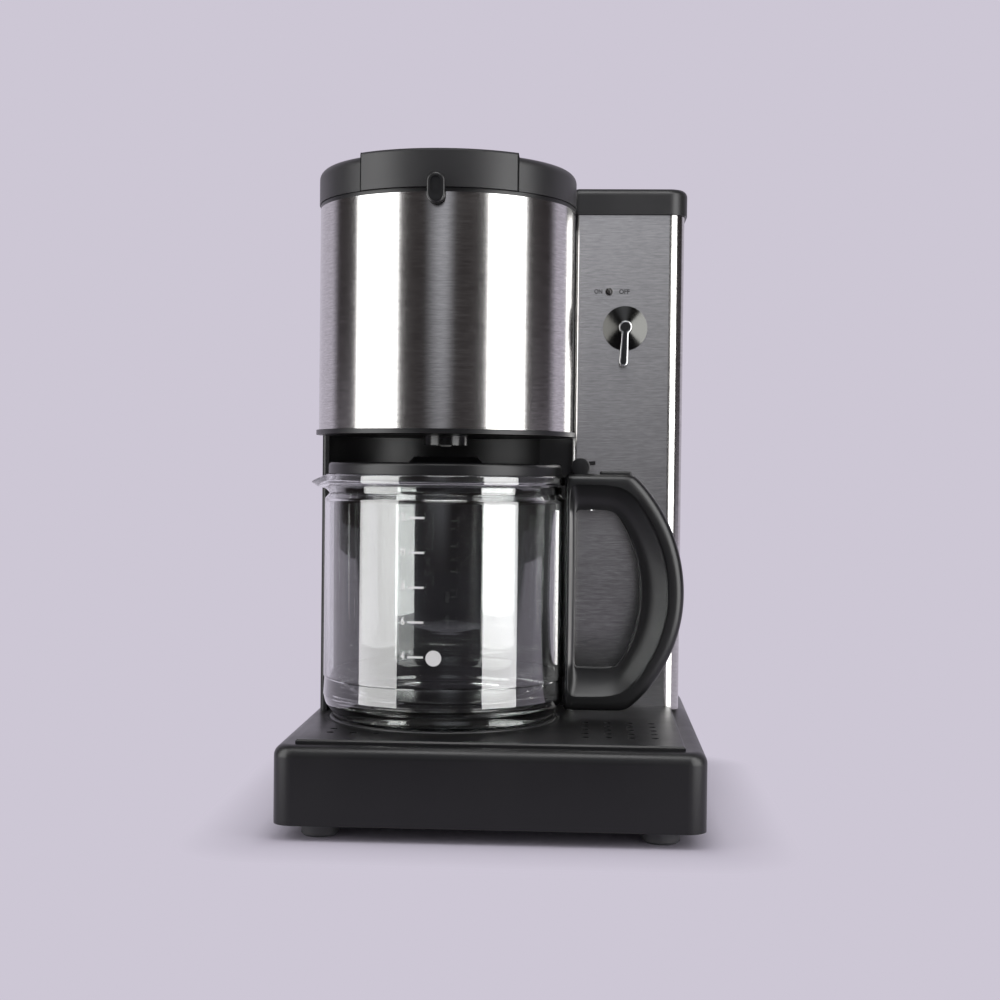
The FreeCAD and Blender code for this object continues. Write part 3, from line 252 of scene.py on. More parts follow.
def print_ink(name, colour):
    """Printed ink that covers a little unevenly."""
    made = new_finish(name)
    patchy = made.noise(scale=1500)
    return made.surface(
        Base_Color=made.blend(patchy, shade(colour, 0.86), colour),
        Roughness=made.ramp(patchy, (0.3, 0.42), (0.8, 0.55)),
    )


def make_finishes():
    """Every finish by its name; the depth of a moulding's grain is in millimetres."""
    recipes = {
        "black_satin": (moulded, (0.0072, 0.007, 0.0078), {"roughness": 0.36, "gloss": 0.4}),
        "grey_satin": (moulded, (0.018, 0.0176, 0.0186), {"roughness": 0.42, "gloss": 0.4}),
        "handle_black": (
            moulded, (0.0065, 0.0065, 0.007), {"roughness": 0.33, "depth": 0.012, "gloss": 0.45}),
        "brushed_steel": (brushed, (0.60, 0.59, 0.58), {"roughness": 0.19}),
        "grey_rubber": (moulded, (0.07, 0.07, 0.074), {"roughness": 0.62, "grain": 1600, "depth": 0.04}),
        "black_rubber": (moulded, (0.011, 0.011, 0.012), {"roughness": 0.58, "grain": 1600, "depth": 0.04}),
        "dark_enamel": (moulded, (0.012, 0.012, 0.0125), {"roughness": 0.42, "grain": 1200, "depth": 0.03}),
        "silicone": (moulded, (0.52, 0.52, 0.50), {"roughness": 0.55}),
        "heater_aluminium": (moulded, (0.45, 0.45, 0.46), {"roughness": 0.5, "grain": 900, "depth": 0.05}),
        "inner_plastic": (moulded, (0.62, 0.58, 0.50), {"roughness": 0.5}),
        "plated_steel": (polished, (0.66, 0.66, 0.67), {"roughness": 0.16}),
        "milky_plastic": (moulded, (0.68, 0.68, 0.66), {"roughness": 0.45}),
        "basket_black": (moulded, (0.014, 0.014, 0.0145), {"roughness": 0.22, "depth": 0.004}),
        "dark_chrome": (polished, (0.068, 0.068, 0.065), {"roughness": 0.13}),
        "chrome": (polished, (0.8, 0.8, 0.81), {"roughness": 0.2}),
        "inlay_black": (moulded, (0.006, 0.006, 0.006), {"roughness": 0.2, "depth": 0.004}),
        "lens": (moulded, (0.012, 0.009, 0.009), {"roughness": 0.1, "depth": 0.002, "spread": 0.04}),
        "clear_plastic": (clear_moulding, (0.96, 0.965, 0.96), {}),
        # Near-black for the painted shadow strips beside the brew lid's band.
        "seam_black": (moulded, (0.003, 0.003, 0.0032), {"roughness": 0.7, "gloss": 0.1}),
        "white_print": (print_ink, (0.82, 0.82, 0.80), {}),
        "dark_print": (print_ink, (0.02, 0.02, 0.023), {}),
    }
    finishes = {name: make(name, colour, **look) for name, (make, colour, look) in recipes.items()}
    finishes["glass"] = clear_glass("glass", shine=1.0)
    finishes["glass_inside"] = clear_glass("glass_inside", shine=0.0)
    return finishes


OTHER_FINISH = {"lid_pull_tab": "handle_black", "carafe_lid": "black_satin"}


def dress_nodes(finishes):
    """Each node takes the finish of its slot, but for a few that look different from the rest of it."""
    for entry in frame["record"]["subparts"]:
        piece = frame["nodes"][entry["node"]]
        piece.data.materials.clear()
        piece.data.materials.append(finishes[OTHER_FINISH.get(entry["node"], entry["material_slot"])])


# Ways of modelling

def middle_of(node):
    """The middle of a node's box."""
    low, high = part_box(node)
    return (low + high) / 2


def alone(piece):
    """Selects one object and makes it the active one."""
    bpy.ops.object.select_all(action="DESELECT")
    piece.select_set(True)
    bpy.context.view_layer.objects.active = piece


def begun(add, **settings):
    """A new object, added with nothing else selected."""
    bpy.ops.object.select_all(action="DESELECT")
    add(**settings)
    return bpy.context.object


def place_in_mesh(piece):
    """Moves a piece's place, turn and size from the object to its mesh."""
    alone(piece)
    bpy.ops.object.transform_apply(location=True, rotation=True, scale=True)


def apply_modifier(piece, kind, **settings):
    """Adds a modifier to a piece and makes its result the mesh."""
    alone(piece)
    made = piece.modifiers.new(kind.lower(), kind)
    for name, value in settings.items():
        setattr(made, name, value)
    bpy.ops.object.modifier_apply(modifier=made.name)


def edit_all(piece, *steps):
    """Runs edit-mode steps on a whole piece, each a function and its settings."""
    alone(piece)
    bpy.ops.object.mode_set(mode="EDIT")
    for step, settings in steps:
        bpy.ops.mesh.select_all(action="SELECT")
        step(**settings)
    bpy.ops.object.mode_set(mode="OBJECT")


MERGED = (bpy.ops.mesh.remove_doubles, {"threshold": MERGE})
FACED_OUT = (bpy.ops.mesh.normals_make_consistent, {"inside": False})


def settle(piece, name, body, slot, finish, *replaced):
    """Puts a finished piece at the origin with its place in its mesh, on its body and in its finish."""
    place_in_mesh(piece)
    bpy.ops.object.shade_smooth_by_angle(angle=SOFT_ANGLE)
    piece.name = name
    piece.data.name = name
    piece.data.materials.clear()
    piece.data.materials.append(finish)
    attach(piece, body)
    if replaced:
        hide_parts(*replaced)
    return piece


def joined(pieces):
    """Several pieces as one mesh."""
    alone(pieces[0])
    for piece in pieces:
        piece.select_set(True)
    bpy.ops.object.join()
    return bpy.context.object


# Flat prints

PRINT_THICK = 0.06 * MM
PRINT_BOLD = 0.03
WORD_CUTS = 2
BAR_CUTS = 8
DISC_CUTS = 5
DISC_SIDES = 48


def print_words(words, right, front, middle, wide, tall):
    """Flat lettering that faces the front, given by its right end, its middle height and its size."""
    text = begun(bpy.ops.object.text_add, rotation=FACING_FRONT)
    text.data.body = words
    text.data.offset = PRINT_BOLD
    bpy.ops.object.convert(target="MESH")
    piece = bpy.context.object
    alone(piece)
    bpy.ops.object.origin_set(type="ORIGIN_GEOMETRY", center="BOUNDS")
    piece.scale = (wide / piece.dimensions.x, tall / piece.dimensions.y, 1)
    piece.location = (right - wide / 2, front, middle)
    place_in_mesh(piece)
    edit_all(piece, MERGED, (bpy.ops.mesh.subdivide, {"number_cuts": WORD_CUTS}))
    return piece


def print_bar(left, right, front, middle, tall):
    """A flat level bar that faces the front."""
    piece = begun(bpy.ops.mesh.primitive_plane_add, size=1, rotation=FACING_FRONT)
    piece.location = ((left + right) / 2, front, middle)
    piece.scale = (right - left, tall, 1)
    place_in_mesh(piece)
    edit_all(piece, (bpy.ops.mesh.subdivide, {"number_cuts": BAR_CUTS}))
    return piece


def print_disc(across, front, middle, radius):
    """A flat disc that faces the front."""
    piece = begun(
        bpy.ops.mesh.primitive_circle_add, vertices=DISC_SIDES, radius=radius, fill_type="TRIFAN",
        location=(across, front, middle), rotation=FACING_FRONT)
    place_in_mesh(piece)
    edit_all(piece, (bpy.ops.mesh.subdivide, {"number_cuts": DISC_CUTS}))
    return piece


# Turned shapes

ARC_STEPS = 7
TURN_STEPS = 192
START_RADIUS = 1 * MM


def round_corners(corners):
    """Points along an open outline; a corner (x, z, radius) is turned on an arc of that radius."""
    points = []
    for place, (x, z, radius) in enumerate(corners):
        here = Vector((x, z))
        if not radius:
            points.append(here)
            continue
        back = (Vector(corners[place - 1][:2]) - here).normalized()
        on = (Vector(corners[place + 1][:2]) - here).normalized()
        half = back.angle(on) / 2
        centre = here + (back + on).normalized() * (radius / math.sin(half))
        first = here + back * (radius / math.tan(half)) - centre
        last = here + on * (radius / math.tan(half)) - centre
        start = math.atan2(first.y, first.x)
        sweep = math.remainder(math.atan2(last.y, last.x) - start, 2 * math.pi)
        for step in range(ARC_STEPS + 1):
            angle = start + sweep * step / ARC_STEPS
            points.append(centre + radius * Vector((math.cos(angle), math.sin(angle))))
    return points


def turned(profile, axis):
    """A solid of revolution about an upright axis; the profile runs from axis to axis in millimetres."""
    foot = (axis.x, axis.y, 0)
    piece = begun(
        bpy.ops.mesh.primitive_circle_add, vertices=len(profile), radius=START_RADIUS, location=foot)
    for corner, (radius, height) in zip(piece.data.vertices, profile):
        corner.co = (radius * MM, 0, height * MM)
    whole_turn = {"steps": TURN_STEPS, "angle": 2 * math.pi, "center": foot, "axis": (0, 0, 1)}
    edit_all(piece, (bpy.ops.mesh.spin, whole_turn), MERGED, (bpy.ops.mesh.delete_loose, {}), FACED_OUT)
    return piece


# Glass vessel

# The outline is in millimetres: a corner is its radius, its height and the arc that rounds it.
GLASS_RADIUS = 66.5
GLASS_WALL = 2.6
GLASS_BORE = GLASS_RADIUS - GLASS_WALL
GLASS_TOP = 184
NECK_RADIUS = 63.75
NECK_BORE = NECK_RADIUS - GLASS_WALL
GLASS_FOOT = 51.2
FOOT_HOLLOW = GLASS_FOOT + 2
HEEL_STEP = 0.55
GLASS_OUTSIDE = (
    (0, FOOT_HOLLOW, 0), (49, FOOT_HOLLOW, 1.5), (52, GLASS_FOOT, 1.5), (60.5, GLASS_FOOT, 3),
    (65.4, 58.5, 5), (GLASS_RADIUS, 63, 0.6), (GLASS_RADIUS - HEEL_STEP, 72.6, 0), (GLASS_RADIUS, 73.2, 0),
    (GLASS_RADIUS, 170.8, 1.8), (NECK_RADIUS, 173.8, 1), (NECK_RADIUS, 177.9, 0.6),
    (GLASS_RADIUS, 178.9, 0.8), (GLASS_RADIUS, GLASS_TOP, 1.1),
)
GLASS_INSIDE = (
    (GLASS_BORE, GLASS_TOP, 1.1), (GLASS_BORE, 180.5, 2), (NECK_BORE, 178.3, 2), (NECK_BORE, 173.6, 2),
    (GLASS_BORE, 169.5, 3), (GLASS_BORE, 60.6, 13), (40, 59.6, 0), (0, 59, 0),
)
GLASS_FLOOR = 58 * MM
SPOUT_TURN = math.radians(18)
SPOUT_ROOT = 173 * MM
SPOUT_RISE = 11 * MM
SPOUT_OUT = 9 * MM
SPOUT_DROP = 4.2 * MM


def glass_vessel(finishes):
    """The carafe's vessel: thick curved heel with a moulding ring, waisted neck and a pinched spout."""
    axis = middle_of("head_sleeve")
    piece = turned(round_corners(GLASS_OUTSIDE + GLASS_INSIDE), axis)
    for corner in piece.data.vertices:
        off_spout = abs(math.atan2(corner.co.y, -corner.co.x)) / SPOUT_TURN
        rise = (corner.co.z - SPOUT_ROOT) / SPOUT_RISE
        if off_spout < 1 and rise > 0:
            pinch = (1 - off_spout) * min(rise, 1)
            corner.co.x -= SPOUT_OUT * pinch
            corner.co.z -= SPOUT_DROP * pinch
    settle(piece, "glass_vessel", "carafe", "glass", finishes["glass"], "carafe_glass")
    piece.data.materials.append(finishes["glass_inside"])
    inside = len(piece.data.materials) - 1
    for face in piece.data.polygons:
        if face.normal.xy.dot(face.center.xy - axis.xy) < 0 and face.center.z > GLASS_FLOOR:
            face.material_index = inside
    return piece


# Carafe's grip

# Outlines and sections are in millimetres: places to the right and up, and depths off the mid-plane.
GRIP_RIGHT = 60
GRIP_UP = 120
LEFT_INSET = 0.4


class Loop:
    """A D-shaped outline round the middle of the grip: straight left, flat ends and a bowed front.

    The front bows from the heel below and the shoulder above out to its furthest place. The higher
    crisp is, the sharper are the corners.
    """

    def __init__(self, left, low, high, heel, shoulder, out, crisp):
        self.left = left
        self.low = low
        self.high = high
        self.heel = heel
        self.shoulder = shoulder
        self.out = out
        self.crisp = crisp

    def reach(self, turn, inset=0.0):
        """How far the outline, set in a little, lies from the middle of the grip in one direction."""
        across, up = math.cos(turn), math.sin(turn)
        foot = (self.shoulder if up > 0 else self.heel) - inset
        end = (self.high if up > 0 else self.low) - math.copysign(inset, up)
        out = self.out - inset
        rise = end - GRIP_UP
        # The front is an arc of radius bow; ahead takes the grip's middle to the arc's centre.
        bow = ((out - foot) ** 2 + rise ** 2) / (2 * (out - foot))
        ahead = out - bow - GRIP_RIGHT
        stops = [across * ahead + math.sqrt((across * ahead) ** 2 - ahead ** 2 + bow ** 2)]
        if abs(up) > NEARLY_ZERO:
            stops.append(rise / up)
        if across < -NEARLY_ZERO:
            stops.append((self.left + LEFT_INSET * inset - GRIP_RIGHT) / across)
        # The nearest stop counts, and near a corner a little of the next one, which rounds it.
        return sum(stop ** -self.crisp for stop in stops) ** (-1 / self.crisp)


GRIP_OUTER = Loop(left=35.8, low=55.5, high=185.6, heel=70, shoulder=73, out=101.3, crisp=60)
GRIP_RECESS = Loop(left=38.3, low=62.5, high=180.6, heel=66, shoulder=67, out=93, crisp=18)
GRIP_OPENING = Loop(left=41.6, low=77, high=167, heel=64, shoulder=62, out=77.5, crisp=18)
GRIP_STEPS = 240
GRIP_HALF = 11.5
GRIP_FLANK = 4
GRIP_ROUND = 4.5
GRIP_ROUND_STEPS = 5
BOWL_STEPS = 8
BOWL_HIGH = 10.4
BOWL_DROP = 6.4
BOWL_INSET = 0.6
BOWL_FOOT_INSET = -1.2
# The recess's edge and the opening's lip: insets from their outlines, and depths.
RECESS_EDGE = ((-0.9, GRIP_HALF), (0, GRIP_HALF - 0.15), (0.3, GRIP_HALF - 0.7), (BOWL_INSET, BOWL_HIGH))
OPENING_LIP = ((-0.35, 3.55), (0, 2.6), (0, 0))


def grip_section(turn):
    """Half of the grip's section in one direction, from the outside to the opening, as reach and depth."""
    outer = [(GRIP_OUTER.reach(turn), depth) for depth in (0, GRIP_FLANK)]
    for step in range(GRIP_ROUND_STEPS + 1):
        angle = math.pi / 2 * step / GRIP_ROUND_STEPS
        inset = GRIP_ROUND * (1 - math.cos(angle))
        depth = GRIP_HALF - GRIP_ROUND + GRIP_ROUND * math.sin(angle)
        outer.append((GRIP_OUTER.reach(turn, inset), depth))
    rim = [(GRIP_RECESS.reach(turn, inset), depth) for inset, depth in RECESS_EDGE]
    bowl = []
    wide = GRIP_RECESS.reach(turn, BOWL_INSET)
    narrow = GRIP_OPENING.reach(turn, BOWL_FOOT_INSET)
    for step in range(1, BOWL_STEPS + 1):
        part = step / BOWL_STEPS
        depth = BOWL_HIGH - BOWL_DROP * math.sin(part * math.pi / 2)
        bowl.append((wide + (narrow - wide) * part, depth))
    lip = [(GRIP_OPENING.reach(turn, inset), depth) for inset, depth in OPENING_LIP]
    return outer + rim + bowl + lip


EAR_RIGHT = 44 * MM
EAR_UP = 189 * MM
EAR_RADIUS = 5.3 * MM
EAR_NEAR = 5 * MM
EAR_FAR = 8.6 * MM
EAR_SIDES = 64
EAR_BEVEL = 0.7 * MM
EAR_BEVEL_ANGLE = math.radians(50)
LEDGE_LEFT = 54.5 * MM
LEDGE_RIGHT = 72 * MM
LEDGE_TOP = 187.2 * MM
LEDGE_ROOT = (GRIP_OUTER.high - 4) * MM
LEDGE_WIDE = 16 * MM
LEDGE_BEVEL = 1.2 * MM


def grip_ear(side, middle):
    """One of the two round ears that carry the lid's pin."""
    place = (EAR_RIGHT, middle + side * (EAR_NEAR + EAR_FAR) / 2, EAR_UP)
    ear = begun(
        bpy.ops.mesh.primitive_cylinder_add, vertices=EAR_SIDES, radius=EAR_RADIUS,
        depth=EAR_FAR - EAR_NEAR, location=place, rotation=FACING_FRONT)
    place_in_mesh(ear)
    apply_modifier(ear, "BEVEL", width=EAR_BEVEL, segments=3, angle_limit=EAR_BEVEL_ANGLE)
    return ear


def grip_ledge(middle):
    """The low pad on top of the grip, under the lid's thumb lever."""
    ledge = begun(bpy.ops.mesh.primitive_cube_add, size=1)
    ledge.location = ((LEDGE_LEFT + LEDGE_RIGHT) / 2, middle, (LEDGE_ROOT + LEDGE_TOP) / 2)
    ledge.scale = (LEDGE_RIGHT - LEDGE_LEFT, LEDGE_WIDE, LEDGE_TOP - LEDGE_ROOT)
    place_in_mesh(ledge)
    apply_modifier(ledge, "BEVEL", width=LEDGE_BEVEL, segments=4)
    return ledge


def grip(finishes):
    """The carafe's moulded handle: a rounded D with a raised rim, a hollow on each side, ears and pad."""
    middle = middle_of("handle").y
    # The two halves of a section share their first and last points.
    rings = 2 * len(grip_section(0)) - 2
    piece = begun(
        bpy.ops.mesh.primitive_torus_add, major_segments=GRIP_STEPS, minor_segments=rings,
        major_radius=2 * START_RADIUS, minor_radius=START_RADIUS)
    for step in range(GRIP_STEPS):
        turn = 2 * math.pi * step / GRIP_STEPS
        front = grip_section(turn)
        section = front + [(reach, -depth) for reach, depth in front[-2:0:-1]]
        for place, (reach, depth) in enumerate(section):
            right = (GRIP_RIGHT + reach * math.cos(turn)) * MM
            up = (GRIP_UP + reach * math.sin(turn)) * MM
            piece.data.vertices[step * rings + place].co = (right, middle - depth * MM, up)
    edit_all(piece, FACED_OUT)
    for added in (grip_ear(-1, middle), grip_ear(1, middle), grip_ledge(middle)):
        apply_modifier(piece, "BOOLEAN", object=added, operation="UNION", solver="EXACT")
        bpy.data.objects.remove(added)
    settle(piece, "grip", "carafe", "handle_black", finishes["handle_black"], "handle")


# Painted shadows beside the brew lid's band

BAND_HALF = 41 * MM
# The painted shadow strips: their width and how far they stand proud of the lid.
SHADOW_STRIP_WIDE = 0.7 * MM
SHADOW_STRIP_PROUD = 0.1 * MM


def cut_off(place, side):
    """An edit step that cuts a piece upright at a place across it and drops one side."""
    return bpy.ops.mesh.bisect, {
        "plane_co": (place, 0, 0), "plane_no": (1, 0, 0), "use_fill": True, side: True}


def band_seam(side):
    """A thin slice of the brew lid where its raised band ends, just proud of it, that carries painted
    shadow of the band's step.
    """
    lid = frame["nodes"]["brew_lid"]
    piece = lid.copy()
    piece.data = lid.data.copy()
    bpy.context.scene.collection.objects.link(piece)
    edge = middle_of("head_sleeve").x + side * BAND_HALF
    edit_all(
        piece,
        MERGED,
        cut_off(edge - SHADOW_STRIP_WIDE / 2, "clear_inner"),
        cut_off(edge + SHADOW_STRIP_WIDE / 2, "clear_outer"),
        FACED_OUT,
        (bpy.ops.transform.shrink_fatten, {"value": SHADOW_STRIP_PROUD}))
    return piece


def band_seams(finishes):
    """The two dark lines beside the lid's band: painted shadow of the band's step."""
    piece = joined([band_seam(-1), band_seam(1)])
    settle(piece, "band_seams", "brew_lid", "black_satin", finishes["seam_black"])


# Switch lever

LEVER_HEAD = 3.7 * MM
LEVER_NECK = 1.8 * MM
LEVER_TIP = 2.4 * MM
LEVER_LEAN = -1 * MM
LEVER_STEPS = 120
LEVER_RIM = 0.9 * MM
# Steps that round a front edge and sink the tray: how far in, and how far to the front.
LEVER_ROUNDING = ((0.12 * MM, 0.3 * MM), (0.3 * MM, 0.12 * MM), (0.35 * MM, 0), (0.1 * MM, -0.6 * MM))
LEVER_CROWN = sum(rise for step, rise in LEVER_ROUNDING if rise > 0)
INLAY_ROUNDING = ((0.1 * MM, 0.1 * MM),)
INLAY_BACK = 0.62 * MM
INLAY_THICK = 0.3 * MM


def lever_half_width(along, length, inset):
    """Half the lever's width at a place along it, from the middle of its head to its end."""
    head, tip = LEVER_HEAD - inset, LEVER_TIP - inset
    if along <= 0:
        return math.sqrt(max(head ** 2 - along ** 2, 0))
    last = length - tip
    if along >= last:
        return math.sqrt(max(tip ** 2 - (along - last) ** 2, 0))
    neck = LEVER_NECK - inset
    waist = neck + (tip - neck) * along / last
    return max(math.sqrt(max(head ** 2 - along ** 2, 0)), waist)


def lever_plate(back, thick, inset, rounding):
    """A flat piece in the lever's outline, set in from it, grown towards the front and rounded in steps."""
    dish = middle_of("escutcheon")
    length = dish.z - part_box("switch_lever")[0].z - inset
    head = LEVER_HEAD - inset
    piece = begun(
        bpy.ops.mesh.primitive_circle_add, vertices=LEVER_STEPS, radius=START_RADIUS, fill_type="NGON")
    for place, corner in enumerate(piece.data.vertices):
        turn = 2 * math.pi * place / LEVER_STEPS
        along = (length - head) / 2 - (length + head) / 2 * math.cos(turn)
        width = -math.copysign(lever_half_width(along, length, inset), math.sin(turn))
        corner.co = (dish.x + width + LEVER_LEAN * along / length, back, dish.z - along)
    alone(piece)
    bpy.ops.object.mode_set(mode="EDIT")
    bpy.ops.mesh.select_all(action="SELECT")
    bpy.ops.mesh.extrude_region_move(TRANSFORM_OT_translate={"value": (0, -thick, 0)})
    for step, rise in rounding:
        bpy.ops.mesh.inset(thickness=step, depth=rise)
    bpy.ops.object.mode_set(mode="OBJECT")
    edit_all(piece, FACED_OUT)
    return piece


def lever(finishes):
    """The switch's plated lever: a round head, a waisted arm and a tray with a black inlay."""
    low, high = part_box("switch_lever")
    plate = lever_plate(high.y, high.y - low.y - LEVER_CROWN, 0, LEVER_ROUNDING)
    settle(plate, "lever", "switch_lever", "chrome", finishes["chrome"], "switch_lever")
    inlay = lever_plate(low.y + INLAY_BACK, INLAY_THICK, LEVER_RIM, INLAY_ROUNDING)
    settle(inlay, "inlay", "switch_lever", "inlay_black", finishes["inlay_black"], "lever_inlay")


# Cup numbers

CUPS = (12, 10, 8, 6, 4)
CUP_STEP = 18 * MM
CUP_TOP_MARK = 161.9 * MM
TICK_LEFT = -44.3 * MM
TICK_RIGHT = -36.1 * MM
TICK_TALL = 1.1 * MM
DIGIT_WIDE = 2 * MM
DIGIT_TALL = 4.2 * MM
DIGIT_RIGHT = -46 * MM
DIGIT_LIFT = 0.6 * MM
DISC_RIGHT = -30.7 * MM
DISC_UP = 89.5 * MM
DISC_RADIUS = 4.1 * MM
# The prints start this far in front of the glass and are pressed onto it.
PRINT_AWAY = 2 * MM


def cup_print(finishes, glass):
    """White cup numbers with a tick each and a plain disc, printed on the front of the glass."""
    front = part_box("carafe_glass")[0].y - PRINT_AWAY
    prints = [print_disc(DISC_RIGHT, front, DISC_UP, DISC_RADIUS)]
    for place, cups in enumerate(CUPS):
        digits = str(cups)
        wide = DIGIT_WIDE * len(digits)
        height = CUP_TOP_MARK - place * CUP_STEP
        prints.append(print_bar(TICK_LEFT, TICK_RIGHT, front, height, TICK_TALL))
        prints.append(print_words(digits, DIGIT_RIGHT, front, height + DIGIT_LIFT, wide, DIGIT_TALL))
    piece = joined(prints)
    apply_modifier(
        piece, "SHRINKWRAP", target=glass, wrap_method="PROJECT", use_project_y=True,
        use_positive_direction=True, offset=PRINT_THICK)
    apply_modifier(piece, "SOLIDIFY", thickness=PRINT_THICK, offset=-1)
    settle(piece, "cup_print", "carafe", "milky_plastic", finishes["white_print"])


# Switch words

# Each word has its right end and its width.
WORDS = {"ON": (55.2 * MM, 4.6 * MM), "OFF": (71.1 * MM, 6.1 * MM)}
WORD_MIDDLE = 291.7 * MM
WORD_TALL = 2.7 * MM


def switch_words(finishes):
    """The two positions of the switch, printed on the tower's front."""
    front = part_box("tower_sleeve")[0].y - PRINT_THICK / 2
    prints = []
    for words, (right, wide) in WORDS.items():
        prints.append(print_words(words, right, front, WORD_MIDDLE, wide, WORD_TALL))
    piece = joined(prints)
    apply_modifier(piece, "SOLIDIFY", thickness=PRINT_THICK, offset=0)
    settle(piece, "switch_words", "machine", "inlay_black", finishes["dark_print"])


# Spring of the drip stop

SPRING_WIRE = 1 * MM
SPRING_TURNS = 4
WIRE_SIDES = 14
COIL_STEPS = 40


def drip_coil(finishes):
    """The wound spring of the drip stop, at its part's length; the real spring shortens as the plunger
    lifts.
    """
    low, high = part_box("drip_spring")
    middle = (low + high) / 2
    wire = SPRING_WIRE / 2
    rise = high.z - low.z
    piece = begun(
        bpy.ops.mesh.primitive_circle_add, vertices=WIRE_SIDES, radius=wire,
        location=(middle.x, middle.y, low.z + wire), rotation=FACING_FRONT)
    bpy.ops.object.transform_apply(location=False, rotation=True, scale=True)
    edit_all(piece, (bpy.ops.transform.translate, {"value": ((high.x - low.x) / 2 - wire, 0, 0)}))
    apply_modifier(
        piece, "SCREW", axis="Z", angle=2 * math.pi, screw_offset=(rise - SPRING_WIRE) / SPRING_TURNS,
        iterations=SPRING_TURNS, steps=COIL_STEPS, render_steps=COIL_STEPS)
    edit_all(piece, MERGED, (bpy.ops.mesh.fill_holes, {"sides": 0}), FACED_OUT)
    settle(piece, "drip_coil", "machine", "plated_steel", finishes["plated_steel"], "drip_spring")
    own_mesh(piece)


# Backdrop and floor

BACKDROP = (0.610, 0.571, 0.665)
ROOM_LIGHT = (0.9, 0.88, 0.93, 1.0)
ROOM_LEVEL = 0.26
ROOM_DARK = (0.028, 0.023, 0.023)
ROOM_GAP = (0.76, 0.77, 0.84)
# Levels over the room's directions, which run from 0 at the left, front or bottom to 1.
BEHIND = ((0.66, 0.0), (0.75, 1.0))
AHEAD = ((0.3, 1.0), (0.4, 0.0))
GAP_ACROSS = ((0.37, 0.0), (0.45, 0.75), (0.485, 1.0), (0.525, 1.0), (0.6, 0.0))
GAP_UP = ((0.465, 0.0), (0.49, 0.06), (0.51, 0.42), (0.59, 0.75), (0.8, 0.85))


def seen(made):
    """Masks for what the camera sees itself, and for what shows in a mirror or through glass."""
    rays = ("Is Camera Ray", "Is Glossy Ray", "Is Transmission Ray")
    camera, glossy, through = (made.node("ShaderNodeLightPath", output=ray) for ray in rays)
    return camera, glossy.either(through)


def make_world():
    """A pale backdrop behind the object; mirrors show a dark room in front of it with one pale gap."""
    world = bpy.data.worlds.new("studio")
    bpy.context.scene.world = world
    made = Finish(world)
    camera, mirrored = seen(made)
    way = made.node("ShaderNodeTexCoord", output="Generated")
    across, along, up = (0.5 * part + 0.5 for part in made.parts(way))
    behind = made.ramp(along, *BEHIND)
    gap = made.ramp(along, *AHEAD) * made.ramp(across, *GAP_ACROSS) * made.ramp(up, *GAP_UP)
    room = made.blend(gap, ROOM_DARK, ROOM_GAP)
    shown = made.blend(mirrored * (1 - camera) * (1 - behind), BACKDROP, room)
    light = made.node("ShaderNodeBackground", {}, {"Color": ROOM_LIGHT, "Strength": ROOM_LEVEL})
    picture = made.node("ShaderNodeBackground", {}, {"Color": shown, "Strength": 1.0})
    mixed = made.node("ShaderNodeMixShader", {}, {0: camera.either(mirrored), 1: light, 2: picture})
    made.node("ShaderNodeOutputWorld", {}, {"Surface": mixed})


FLOOR_SIZE = 9
# The shadow's fade by the way from the base, and the floor's level in mirrors by the way behind its start.
SHADOW_FADE = ((0.0, 0.0), (0.012, 0.45), (0.045, 1.0))
MIRROR_LEVEL = ((0.55, 0.08), (0.75, 1.0))
MIRROR_START = -1.0


def make_floor():
    """A pale floor with the object's shadow that fades into the backdrop; in mirrors its front is dark."""
    floor = begun(bpy.ops.mesh.primitive_plane_add, size=FLOOR_SIZE)
    floor.name = "floor"
    made = new_finish("floor_paper")
    camera, mirrored = seen(made)
    spot = made.node("ShaderNodeTexCoord", output="Object")
    across, along, _ = made.parts(spot)
    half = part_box("base_housing")[1]
    beside = across - across.between(-half.x, half.x)
    before = along - along.between(-half.y, half.y)
    fade = made.ramp((beside * beside + before * before).root(), *SHADOW_FADE)
    level = camera + (1 - camera) * made.ramp(along - MIRROR_START, *MIRROR_LEVEL)
    colour = (*BACKDROP, 1.0)
    paper = made.node("ShaderNodeBsdfDiffuse", {}, {"Color": colour})
    glow = made.node("ShaderNodeEmission", {}, {"Color": colour, "Strength": level})
    mixed = made.node("ShaderNodeMixShader", {}, {0: camera.either(mirrored) * fade, 1: paper, 2: glow})
    made.node("ShaderNodeOutputMaterial", {}, {"Surface": mixed})
    floor.data.materials.append(made.owner)


# Lamps and camera

SOFTBOX_AWAY = 0.45
SOFTBOX_LOW = 0.004
SOFTBOX_TALL = 0.75
SPARKLE_BEHIND = 1 * MM
OVERHEAD_ALONG = -0.38
OVERHEAD_ABOVE_LID = 0.62
OVERHEAD_AIM = Vector((0, -0.05, 0.15))


def area_light(name, place, aim, width, tall, radiance):
    """A soft light of even radiance that the camera doesn't see."""
    lamp = bpy.data.lights.new(name, "AREA")
    lamp.shape = "RECTANGLE"
    lamp.size = width
    lamp.size_y = tall
    lamp.energy = radiance * math.pi * width * tall
    holder = bpy.data.objects.new(name, lamp)
    bpy.context.scene.collection.objects.link(holder)
    holder.location = place
    holder.rotation_euler = (aim - place).to_track_quat("-Z", "Y").to_euler()
    holder.visible_camera = False
    return holder


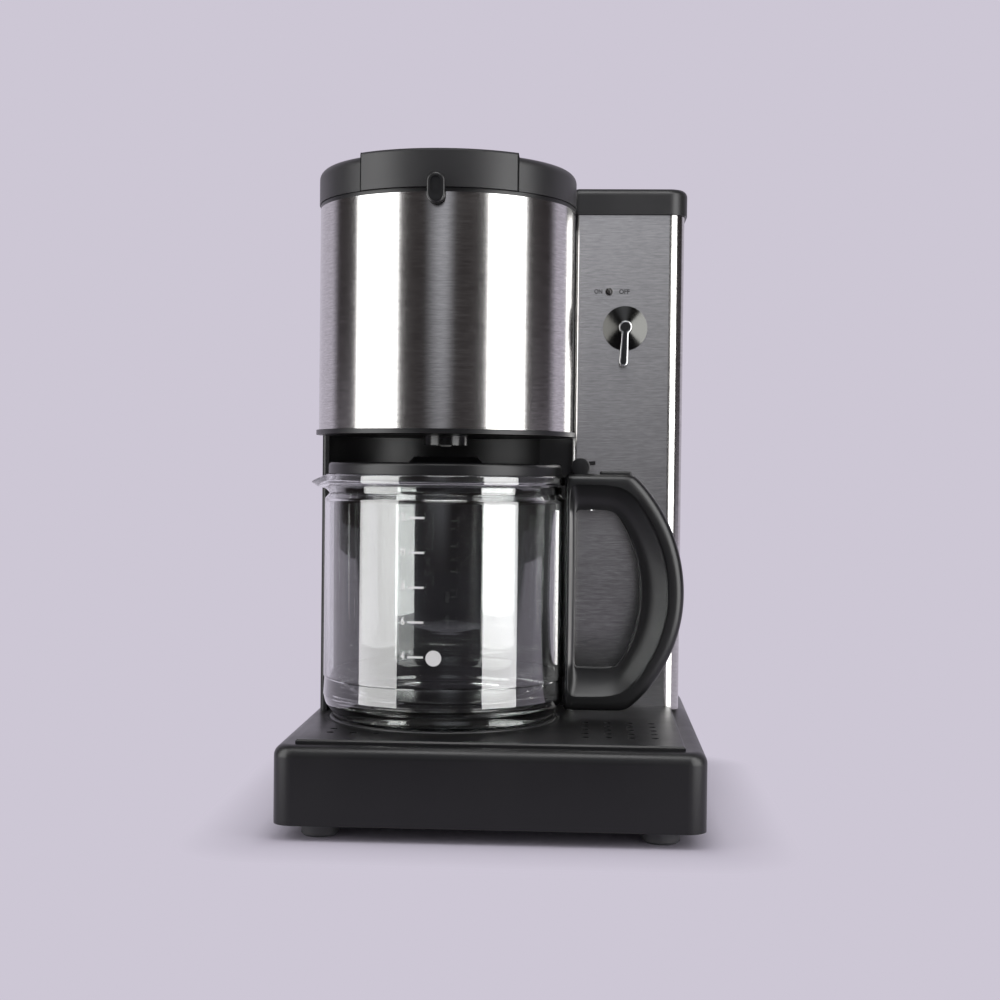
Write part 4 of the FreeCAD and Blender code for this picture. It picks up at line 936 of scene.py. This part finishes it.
def softbox(name, azimuth, span, radiance, sparkle):
    """An upright soft light over a span of degrees round the head's axis; sparkle shows only in mirrors."""
    centre = middle_of("head_sleeve")
    turn = math.radians(azimuth)
    aim = Vector((centre.x, centre.y, SOFTBOX_LOW + SOFTBOX_TALL / 2))
    outward = Vector((math.sin(turn), -math.cos(turn), 0))
    width = 2 * SOFTBOX_AWAY * math.tan(math.radians(span) / 2)
    place = aim + SOFTBOX_AWAY * outward
    area_light(name, place, aim, width, SOFTBOX_TALL, radiance)
    place = aim + (SOFTBOX_AWAY + SPARKLE_BEHIND) * outward
    extra = area_light(name + "_sparkle", place, aim, width, SOFTBOX_TALL, sparkle)
    extra.visible_diffuse = False


def make_lights():
    """A softbox on each side and one overhead, with a gleam that shows only in mirrors."""
    softbox("left_softbox", azimuth=-56.5, span=40, radiance=2.2, sparkle=2.0)
    softbox("right_softbox", azimuth=55.5, span=34, radiance=2.3, sparkle=3.0)
    lid_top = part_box("brew_lid")[1]
    place = Vector((0, OVERHEAD_ALONG, lid_top.z + OVERHEAD_ABOVE_LID))
    area_light("overhead", place, OVERHEAD_AIM, width=0.45, tall=0.18, radiance=4.0)
    gleam = area_light("gleam", place, OVERHEAD_AIM, width=0.4, tall=0.34, radiance=9.0)
    gleam.visible_diffuse = False


CAMERA_PLACE = (44.65 * MM, -905 * MM, 186.3 * MM)
CAMERA_YAW = math.radians(2.93)
CAMERA_PITCH = math.radians(1.02)
CAMERA_ROLL = math.radians(-0.65)
CAMERA_LENS = 57.6
CAMERA_SENSOR = 36


def make_camera():
    """The camera stands where the photograph was taken from."""
    lens = bpy.data.cameras.new("camera")
    lens.lens = CAMERA_LENS
    lens.sensor_width = CAMERA_SENSOR
    holder = bpy.data.objects.new("camera", lens)
    bpy.context.scene.collection.objects.link(holder)
    holder.location = CAMERA_PLACE
    holder.rotation_euler = (math.pi / 2 - CAMERA_PITCH, CAMERA_ROLL, CAMERA_YAW)
    bpy.context.scene.camera = holder


# The scene

bpy.context.scene.view_settings.view_transform = "Standard"
finishes = make_finishes()
dress_nodes(finishes)
cup_print(finishes, glass_vessel(finishes))
grip(finishes)
band_seams(finishes)
lever(finishes)
switch_words(finishes)
drip_coil(finishes)
make_world()
make_floor()
make_lights()
make_camera()
